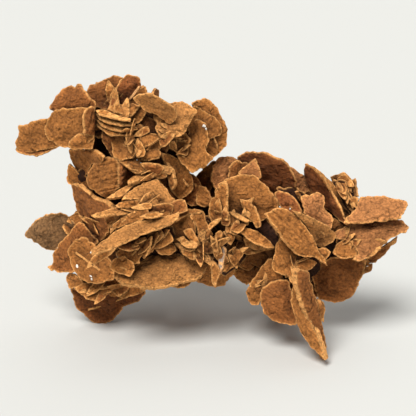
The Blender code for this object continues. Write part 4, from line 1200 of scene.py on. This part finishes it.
# Drifts of small pointed leaves.
DRIFTS = (
    Drift("crown", 124.0, 100.0, 24.0, 12.0, 5, 8.0, 70.0, 60.0),
    Drift("hollow", 150.0, 137.0, 28.0, 15.0, 17, 7.5, 0.0, 180.0),
    Drift("eye", 174.0, 146.0, 12.0, 12.0, 8, 6.5, 0.0, 180.0),
    Drift("neck", 148.0, 170.0, 20.0, 8.0, 8, 8.0, 160.0, 30.0),
    Drift("shelf", 150.0, 208.0, 26.0, 8.0, 9, 11.0, 190.0, 16.0),
    Drift("pleats", 148.0, 244.0, 20.0, 8.0, 6, 10.0, 205.0, 18.0),
    Drift("rosette", 198.0, 246.0, 14.0, 13.0, 11, 7.0, 0.0, 0.0),
    Drift("centre", 230.0, 240.0, 18.0, 22.0, 22, 8.5, 80.0, 60.0),
    Drift("saddle", 236.0, 212.0, 22.0, 8.0, 6, 8.0, 100.0, 50.0),
    Drift("stack", 346.0, 194.0, 9.0, 15.0, 10, 8.0, 300.0, 25.0),
    Drift("wing", 346.0, 240.0, 12.0, 10.0, 4, 7.0, 20.0, 40.0),
    Drift("knee", 300.0, 262.0, 16.0, 8.0, 6, 8.0, 300.0, 40.0),
    Drift("lobe", 262.0, 286.0, 10.0, 8.0, 3, 6.0, 0.0, 180.0),
    Drift("foot", 108.0, 290.0, 24.0, 8.0, 8, 9.0, 200.0, 40.0),
    Drift("left", 88.0, 224.0, 8.0, 16.0, 4, 8.0, 120.0, 40.0),
    Drift("right", 384.0, 248.0, 14.0, 8.0, 4, 6.0, 20.0, 30.0),
)

# White crumbs that lie on the faces.
CRUMBS = (
    Crumb(204.0, 126.0, 0.9),
    Crumb(206.0, 129.0, 0.6),
    Crumb(77.0, 266.0, 1.0),
    Crumb(91.0, 276.0, 0.7),
    Crumb(91.5, 279.0, 0.6),
    Crumb(370.0, 263.0, 0.8),
    Crumb(367.0, 266.0, 0.6),
    Crumb(137.0, 160.0, 0.6),
    Crumb(141.0, 163.0, 0.5),
    Crumb(91.0, 252.5, 0.5),
    Crumb(152.0, 164.5, 0.5),
    Crumb(290.0, 209.0, 0.5),
)


def add_node(
    tree: bpy.types.NodeTree, kind: str, settings: dict[str, object] | None = None, **inputs: object
) -> bpy.types.Node:
    """Adds a shader node with its settings and links.

    Args:
        tree: the material's node tree.
        kind: the node's Blender class name, after "ShaderNode".
        settings: properties of the node to set.
        **inputs: an output to link or a value to set, by socket name with "_" for a space, or by the socket's
            number as "i0".

    Returns:
        The node.
    """
    node = tree.nodes.new(f"ShaderNode{kind}")
    for key, value in (settings or {}).items():
        setattr(node, key, value)
    for key, value in inputs.items():
        numbered = key[0] == "i" and key[1:].isdigit()
        socket = node.inputs[int(key[1:]) if numbered else key.replace("_", " ")]
        if isinstance(value, bpy.types.NodeSocket):
            tree.links.new(value, socket)
        else:
            socket.default_value = value
    return node


@dataclass(frozen=True)
class Wash:
    """One layer of the stone's colour, laid on by a pattern: a change of brightness, or a stain.

    Attributes:
        pattern: the pattern's name.
        low, high: values of the pattern between which the layer changes.
        start, end: brightness, or share of the stain, at those values.
        stain: sRGB hex colour that is mixed in, or "" where only the brightness changes.
    """

    pattern: str
    low: float
    high: float
    start: float
    end: float
    stain: str = ""


@dataclass(frozen=True)
class SandyGypsum:
    """Gypsum that grew in sand, then weathered: dull tan stone, gritty all through, with paler worn rims.

    The sand grains scatter light, so there is no gloss. A thin rim is pale and warm: partly rubbed clean,
    partly painted glow of light that passes through it. Concave creases are darker and convex edges paler,
    partly wear and partly painted shade. Where the stone closes in on itself, in crevices and under
    overhangs, it is painted nearly black as shade.

    Attributes:
        grain_mm: size of a sand grain. It is drawn two to three times as coarse, as it needs that to show.
        noises: patterns through the stone, each as its cell (mm), its detail and its roughness.
        streaks: patterns on a face, each as its length and width (mm) and its detail.
        washes: layers of the colour, from the first to the last.
        bumps: the patterns that shape the surface, each with its depth (m).
    """

    roughness: float = 0.88
    specular: float = 0.25
    ior: float = 1.52
    grain_mm: float = 0.55
    rim_width_mm: float = 8.0
    ledge_every: float = 0.34
    crevice_shade_reach_m: float = 0.012
    noises: tuple[tuple[str, float, float, float], ...] = (
        ("patches", 9.0, 3.0, 0.55),
        ("breaks", 5.0, 1.0, 0.55),
        ("grains", grain_mm * 2.0, 2.0, 0.55),
        ("grit", grain_mm * 2.2, 3.0, 0.65),
        ("lumps", 3.2, 3.0, 0.6),
    )
    streaks: tuple[tuple[str, float, float, float], ...] = (
        ("lines", 3.2, 1.3, 4.0),
        ("bends", 7.0, 7.0, 2.0),
    )
    washes: tuple[Wash, ...] = (
        # The thin rim, pale and warm: partly rubbed clean, partly painted glow of light through the thin
        # gypsum.
        Wash("rim", 0.15, 0.8, 0.0, 0.8, "#D99C5A"),
        # More or less sand from place to place, and from crystal to crystal.
        Wash("patches", 0.3, 0.7, 0.88, 1.12),
        Wash("crystal", 0.0, 1.0, 1.05, 1.33),
        # Growth lines, and the broken edges of the growth steps with dirt in them.
        Wash("lines", 0.3, 0.6, 0.88, 1.07),
        Wash("cracks", 0.0, 1.0, 0.0, 1.0, "#4A2610"),
        # Convex edges rubbed pale as wear; concave creases and hollows darkened as painted shade.
        Wash("wear", 0.43, 0.57, 0.64, 1.25),
        # Single sand grains.
        Wash("grains", 0.3, 0.7, 0.7, 1.3),
        # Painted shade: nearly black where the stone closes in on itself, in crevices and under overhangs.
        Wash("shelter", 0.1, 0.85, 1.0, 0.0, "#2A1005"),
    )
    bumps: tuple[tuple[str, float], ...] = (
        ("grit", 0.0012),
        ("lines", 0.002),
        ("ledges", 0.0015),
        ("lumps", 0.0011),
    )

    def material(self) -> bpy.types.Material:
        """The finish as a material.

        Returns:
            The material.
        """
        made = bpy.data.materials.new("sandy gypsum, weathered")
        made.use_nodes = True
        tree = made.node_tree
        tree.nodes.clear()
        patterns = self._patterns(tree)
        colour, relief = self._colour(tree, patterns), self._relief(tree, patterns)
        surface = add_node(
            tree, "BsdfPrincipled", Base_Color=colour, Normal=relief, Roughness=self.roughness,
            Specular_IOR_Level=self.specular, IOR=self.ior,
        )
        add_node(tree, "OutputMaterial", Surface=surface.outputs["BSDF"])
        return made

    def _patterns(self, tree: bpy.types.NodeTree) -> dict[str, bpy.types.NodeSocket]:
        """The patterns that the colour and the relief are made of.

        Args:
            tree: the material's node tree.

        Returns:
            Each pattern's output, by name.
        """
        place = add_node(tree, "TexCoord").outputs["Object"]
        on_face = add_node(tree, "Attribute", {"attribute_name": "place_on_face"}).outputs["Vector"]
        away = add_node(tree, "SeparateXYZ", Vector=on_face).outputs["Z"]
        crystal = add_node(tree, "Attribute", {"attribute_name": "crystal"}).outputs["Fac"]
        found = {"crystal": crystal}
        for name, cell_mm, detail, rough in self.noises:
            found[name] = add_node(
                tree, "TexNoise", Vector=place, Scale=MM_IN_A_METRE / cell_mm, Detail=detail, Roughness=rough
            ).outputs["Fac"]
        # Far enough from one crystal to the next that no two share a pattern.
        own = add_node(tree, "MapRange", Value=crystal, To_Max=90.0).outputs["Result"]
        for name, long_mm, wide_mm, detail in self.streaks:
            drawn = add_node(
                tree, "VectorMath", {"operation": "MULTIPLY"}, i0=on_face,
                i1=(1.0 / long_mm, 1.0 / wide_mm, 0.05 / wide_mm),
            ).outputs["Vector"]
            found[name] = add_node(
                tree, "TexNoise", {"noise_dimensions": "4D"}, Vector=drawn, W=own, Scale=1.0, Detail=detail,
                Roughness=0.6, Distortion=0.4,
            ).outputs["Fac"]
        # The pale rim: partly wear, partly painted glow of light through the thin edge.
        fade = add_node(
            tree, "MapRange", Value=away, From_Max=self.rim_width_mm, To_Max=-17.0
        ).outputs["Result"]
        found["rim"] = add_node(tree, "Math", {"operation": "POWER"}, i0=2.718, i1=fade).outputs[0]
        # Ledges follow the rim at even distances, bent and broken off here and there.
        bend = add_node(tree, "MapRange", Value=found["bends"], To_Max=3.2).outputs["Result"]
        phase = add_node(
            tree, "Math", {"operation": "MULTIPLY_ADD"}, i0=away, i1=self.ledge_every, i2=bend
        ).outputs[0]
        ledge = add_node(tree, "Math", {"operation": "FRACT"}, i0=phase).outputs[0]
        broken = add_node(
            tree, "MapRange", Value=found["breaks"], From_Min=0.46, From_Max=0.6
        ).outputs["Result"]
        lip = add_node(tree, "MapRange", Value=ledge, From_Max=0.14, To_Min=0.6, To_Max=0.0).outputs["Result"]
        for name, shape in (("cracks", lip), ("ledges", ledge)):
            found[name] = add_node(tree, "Math", {"operation": "MULTIPLY"}, i0=shape, i1=broken).outputs[0]
        # Pointiness: convex edges paler as wear, concave creases darker as painted shade.
        found["wear"] = add_node(tree, "NewGeometry").outputs["Pointiness"]
        # Painted shade in crevices: how closed in each point is by the stone within this reach.
        found["shelter"] = add_node(
            tree, "AmbientOcclusion", {"samples": 8, "only_local": True}, Distance=self.crevice_shade_reach_m
        ).outputs["AO"]
        return found

    def _colour(
        self, tree: bpy.types.NodeTree, patterns: dict[str, bpy.types.NodeSocket]
    ) -> bpy.types.NodeSocket:
        """Each crystal's own colour under the washes.

        Args:
            tree: the material's node tree.
            patterns: each pattern's output, by name.

        Returns:
            The colour.
        """
        colour = add_node(tree, "Attribute", {"attribute_name": "tint"}).outputs["Color"]
        for wash in self.washes:
            share = add_node(
                tree, "MapRange", Value=patterns[wash.pattern], From_Min=wash.low, From_Max=wash.high,
                To_Min=wash.start, To_Max=wash.end,
            ).outputs["Result"]
            if wash.stain:
                colour = add_node(
                    tree, "Mix", {"data_type": "RGBA"}, i0=share, i6=colour, i7=linear(wash.stain)
                ).outputs[2]
            else:
                colour = add_node(
                    tree, "VectorMath", {"operation": "SCALE"}, i0=colour, Scale=share
                ).outputs["Vector"]
        return colour

    def _relief(
        self, tree: bpy.types.NodeTree, patterns: dict[str, bpy.types.NodeSocket]
    ) -> bpy.types.NodeSocket:
        """The bumps, one on another.

        Args:
            tree: the material's node tree.
            patterns: each pattern's output, by name.

        Returns:
            The surface's direction.
        """
        under: dict[str, bpy.types.NodeSocket] = {}
        for name, depth in self.bumps:
            bump = add_node(tree, "Bump", Height=patterns[name], Strength=1.0, Distance=depth, **under)
            under = {"Normal": bump.outputs["Normal"]}
        return under["Normal"]


@dataclass(frozen=True)
class WhitePaper:
    """A sheet of uncoated white paper: matt, so that it takes soft shadows and shows no reflection."""

    colour: str = "#CDCDC8"
    roughness: float = 0.9
    specular: float = 0.19

    def material(self) -> bpy.types.Material:
        """The finish as a material.

        Returns:
            The material.
        """
        made = bpy.data.materials.new("white paper, matt")
        made.use_nodes = True
        surface = made.node_tree.nodes["Principled BSDF"]
        surface.inputs["Base Color"].default_value = linear(self.colour)
        surface.inputs["Roughness"].default_value = self.roughness
        surface.inputs["Specular IOR Level"].default_value = self.specular
        return made


@dataclass(frozen=True)
class CeilingLight:
    """Even soft light from one side of the ceiling.

    Attributes:
        place: a point that it comes from.
        spread: how wide it is, in degrees.
        power: its strength.
    """

    place: tuple[float, float, float]
    spread: float
    power: float

    def build(self) -> None:
        """Adds the light."""
        data = bpy.data.lights.new("ceiling light", "SUN")
        data.angle = math.radians(self.spread)
        data.energy = self.power
        lamp = bpy.data.objects.new("ceiling light", data)
        lamp.rotation_euler = (SHEET.point - Vector(self.place)).to_track_quat("-Z", "Y").to_euler()
        bpy.context.scene.collection.objects.link(lamp)


@dataclass(frozen=True)
class Studio:
    """White floor, even room light, soft ceiling lights and the camera.

    Attributes:
        half_floor: half the floor's width.
        room_light: strength of the light from all round.
        sensor_mm: width of the camera's sensor.
    """

    half_floor: float = 30.0
    room_light: float = 0.19
    sensor_mm: float = 36.0
    lights: tuple[CeilingLight, ...] = (
        CeilingLight((-0.5, -1.05, 1.9), 30.0, 3.9),
        CeilingLight((0.25, 0.9, 2.0), 50.0, 0.7),
    )

    def build(self) -> None:
        """Adds the floor, the lights and the camera."""
        self._floor()
        world = bpy.data.worlds.new("white room")
        world.use_nodes = True
        background = world.node_tree.nodes["Background"]
        background.inputs["Color"].default_value = (1.0, 1.0, 1.0, 1.0)
        background.inputs["Strength"].default_value = self.room_light
        bpy.context.scene.world = world
        for light in self.lights:
            light.build()
        self._camera()

    def _floor(self) -> None:
        """Adds the paper floor."""
        half = self.half_floor
        mesh = bpy.data.meshes.new("floor")
        corners = [(-half, -half, 0), (half, -half, 0), (half, half, 0), (-half, half, 0)]
        mesh.from_pydata(corners, [], [(0, 1, 2, 3)])
        floor = bpy.data.objects.new("floor", mesh)
        floor.data.materials.append(WhitePaper().material())
        bpy.context.scene.collection.objects.link(floor)

    def _camera(self) -> None:
        """Adds the camera at the sheet's eye point, so that the sheet fills the picture."""
        camera = bpy.data.objects.new("camera", bpy.data.cameras.new("camera"))
        camera.data.sensor_width = self.sensor_mm
        camera.data.lens = self.sensor_mm * SHEET.distance / (PICTURE_WIDTH * SHEET.unit)
        camera.location = SHEET.eye
        camera.rotation_euler = (SHEET.point - SHEET.eye).to_track_quat("-Z", "Y").to_euler()
        bpy.context.scene.collection.objects.link(camera)
        bpy.context.scene.camera = camera
        bpy.context.scene.view_settings.view_transform = "Standard"


@dataclass
class SandRose:
    """The whole specimen: every crystal meshed, joined into one body and trimmed to its resting points.

    Attributes:
        smooth_under: edges sharper than this many degrees stay crisp.
        rounds: how near a loose crystal a neighbour is thickened, in each round (mm).
        thick_edge: height of the rim's wall on a thickened crystal (mm).
    """

    name: str = "sand_rose_crystals"
    smooth_under: float = 26.0
    rounds: tuple[float, ...] = (0.0, 1.0, 2.5, 4.0)
    thick_edge: float = 4.0

    def build(self) -> bpy.types.Object:
        """Meshes and joins the crystals.

        Returns:
            The one body.
        """
        crystals = bpy.data.collections.new("crystals to join")
        bpy.context.scene.collection.children.link(crystals)
        lenses = self._lenses()
        shells = self._meshed(lenses)
        for number, (lens, shell) in enumerate(zip(lenses, shells)):
            self._add(lens.name, shell, lens.tone, number, crystals)
        stone = self._tree(shells)
        leaves = [leaf for drift in DRIFTS for leaf in drift.lenses(stone)]
        for number, leaf in enumerate(leaves):
            self._add(leaf.name, leaf.mesh(), LEAF_TONES[number % len(LEAF_TONES)], number, crystals)
        for crumb in CRUMBS:
            shell = crumb.mesh(stone)
            if shell is not None:
                self._add("white_crumb_speck", shell, crumb.tone, 0, crystals)
        mesh = self._joined(crystals)
        self._trim(mesh)
        mesh.name = self.name
        made = bpy.data.objects.new(self.name, mesh)
        bpy.context.scene.collection.objects.link(made)
        made.data.materials.clear()
        made.data.materials.append(SandyGypsum().material())
        return made

    @staticmethod
    def _lenses() -> list[Core | Lens]:
        """Every crystal and core, in a fixed order.

        Returns:
            What is to be meshed.
        """
        found: list[Core | Lens] = []
        for cluster in CLUSTERS:
            found += cluster.lenses(len(found))
        for growth in GROWTHS:
            found += growth.lenses()
        return found

    @staticmethod
    def _tree(shells: list[Shell]) -> BVHTree:
        """One search tree over every crystal.

        Args:
            shells: the crystals' meshes.

        Returns:
            The tree.
        """
        points: list[list[float]] = []
        faces: list[tuple[int, ...]] = []
        for shell in shells:
            start = len(points)
            points.extend(shell.points.tolist())
            faces.extend(tuple(start + corner for corner in face) for face in shell.faces)
        return BVHTree.FromPolygons(points, faces)

    def _meshed(self, lenses: list[Core | Lens]) -> list[Shell]:
        """Meshes every crystal. Rims thicken, round by round, where a crystal misses its neighbours.

        Args:
            lenses: what is to be meshed; those that thicken are changed.

        Returns:
            Their meshes, in the same order.
        """
        made = [lens.mesh() for lens in lenses]
        for widen in self.rounds:
            low = np.array([shell.points.min(axis=0) for shell in made])
            high = np.array([shell.points.max(axis=0) for shell in made])
            loose = self._loose(made, low, high)
            LOG.info("crystals that miss the mass: %s", [lenses[index].name for index in loose])
            if not loose:
                break
            reach = widen * MM
            for index, lens in enumerate(lenses):
                touched = any(
                    (low[index] - reach <= high[item]).all() and (low[item] - reach <= high[index]).all()
                    for item in loose
                )
                if isinstance(lens, Lens) and (index in loose or touched) and lens.edge < self.thick_edge:
                    lens.edge = self.thick_edge
                    made[index] = lens.mesh()
        return made

    @staticmethod
    def _loose(shells: list[Shell], low: np.ndarray, high: np.ndarray) -> list[int]:
        """Finds the crystals that haven't grown into the mass.

        Args:
            shells: the crystals' meshes.
            low: the lowest corner of each one's box.
            high: the highest corner of each one's box.

        Returns:
            Their numbers.
        """
        trees = [BVHTree.FromPolygons(shell.points.tolist(), shell.faces) for shell in shells]
        group = list(range(len(shells)))

        def root(index: int) -> int:
            """The first crystal of the group that this one has grown into."""
            while group[index] != index:
                index = group[index]
            return index

        for one in range(len(shells)):
            for other in range(one):
                apart = (low[one] > high[other]).any() or (low[other] > high[one]).any()
                if not apart and root(one) != root(other) and trees[one].overlap(trees[other]):
                    group[root(one)] = root(other)
        roots = [root(index) for index in range(len(shells))]
        largest = max(set(roots), key=roots.count)
        return [index for index, first in enumerate(roots) if first != largest]

    @staticmethod
    def _add(name: str, shell: Shell, tone: Tone, number: int, into: bpy.types.Collection) -> None:
        """Adds one crystal as an object that carries its colour, place and number as attributes.

        Args:
            name: the crystal's name.
            shell: its mesh.
            tone: its colour. Painted gap shade, near black, goes only on faces turned towards the front;
                faces turned back are brown.
            number: sets it apart from its neighbours.
            into: the collection that takes it.
        """
        mesh = bpy.data.meshes.new(name)
        mesh.from_pydata(shell.points.tolist(), [], shell.faces)
        mesh.update()
        count = len(mesh.polygons)
        colours = np.tile(linear(tone.value), (count, 1))
        # Painted gap shade shows only from the front: faces turned back get plain brown.
        if tone is Tone.GAP_SHADE:
            facing = np.empty(count * 3, np.float32)
            mesh.polygons.foreach_get("normal", facing)
            colours[facing[1::3] > 0.1] = linear(Tone.BROWN.value)
        mesh.attributes.new("tint", "FLOAT_COLOR", "FACE").data.foreach_set("color", colours.ravel())
        corners = np.empty(len(mesh.loops), np.int32)
        mesh.loops.foreach_get("vertex_index", corners)
        flat = mesh.attributes.new("place_on_face", "FLOAT_VECTOR", "CORNER")
        flat.data.foreach_set("vector", shell.place[corners].ravel())
        crystal = mesh.attributes.new("crystal", "FLOAT", "FACE")
        crystal.data.foreach_set("value", np.full(count, (number * GOLDEN_SHARE) % 1.0))
        into.objects.link(bpy.data.objects.new(name, mesh))

    @staticmethod
    def _joined(crystals: bpy.types.Collection) -> bpy.types.Mesh:
        """Joins the crystals into one mesh and removes them.

        Args:
            crystals: the collection that holds them.

        Returns:
            The mesh.
        """
        grown = crystals.objects["bar"]
        crystals.objects.unlink(grown)
        bpy.context.scene.collection.objects.link(grown)
        union = grown.modifiers.new("grown together", "BOOLEAN")
        union.operation = "UNION"
        union.operand_type = "COLLECTION"
        union.collection = crystals
        union.solver = "MANIFOLD"
        graph = bpy.context.evaluated_depsgraph_get()
        mesh = bpy.data.meshes.new_from_object(grown.evaluated_get(graph))
        for old in [grown, *crystals.objects]:
            bpy.data.objects.remove(old)
        bpy.data.collections.remove(crystals)
        return mesh

    def _trim(self, mesh: bpy.types.Mesh) -> None:
        """Keeps the largest shell, sits it on the floor and sets which edges are crisp.

        Args:
            mesh: the joined crystals, changed in place.
        """
        shape = bmesh.new()
        shape.from_mesh(mesh)
        unseen = set(shape.verts)
        shells = []
        while unseen:
            front = [unseen.pop()]
            shell = set(front)
            while front:
                for edge in front.pop().link_edges:
                    for vert in edge.verts:
                        if vert not in shell:
                            shell.add(vert)
                            front.append(vert)
            unseen -= shell
            shells.append(shell)
        shells.sort(key=len)
        for shell in shells[:-1]:
            bmesh.ops.delete(shape, geom=list(shell), context="VERTS")
        LOG.info("shells dropped, by point count: %s", [len(shell) for shell in shells[:-1]])
        for vert in shape.verts:
            vert.co.z = max(vert.co.z, 0.0)
        bmesh.ops.triangulate(shape, faces=shape.faces[:])
        shape.to_mesh(mesh)
        shape.free()
        mesh.shade_smooth()
        mesh.set_sharp_from_angle(angle=math.radians(self.smooth_under))


def main() -> None:
    """Builds the specimen and its setting."""
    logging.basicConfig(level=logging.INFO, format="%(message)s")
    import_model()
    rose = SandRose().build()
    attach(rose, "root")
    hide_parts("sand_rose")
    LOG.info("sand rose: %d triangles", len(rose.data.polygons))
    studio = Studio()
    studio.build()
    LOG.info("studio: floor, camera and %d ceiling lights", len(studio.lights))


if __name__ == "__main__":
    main()
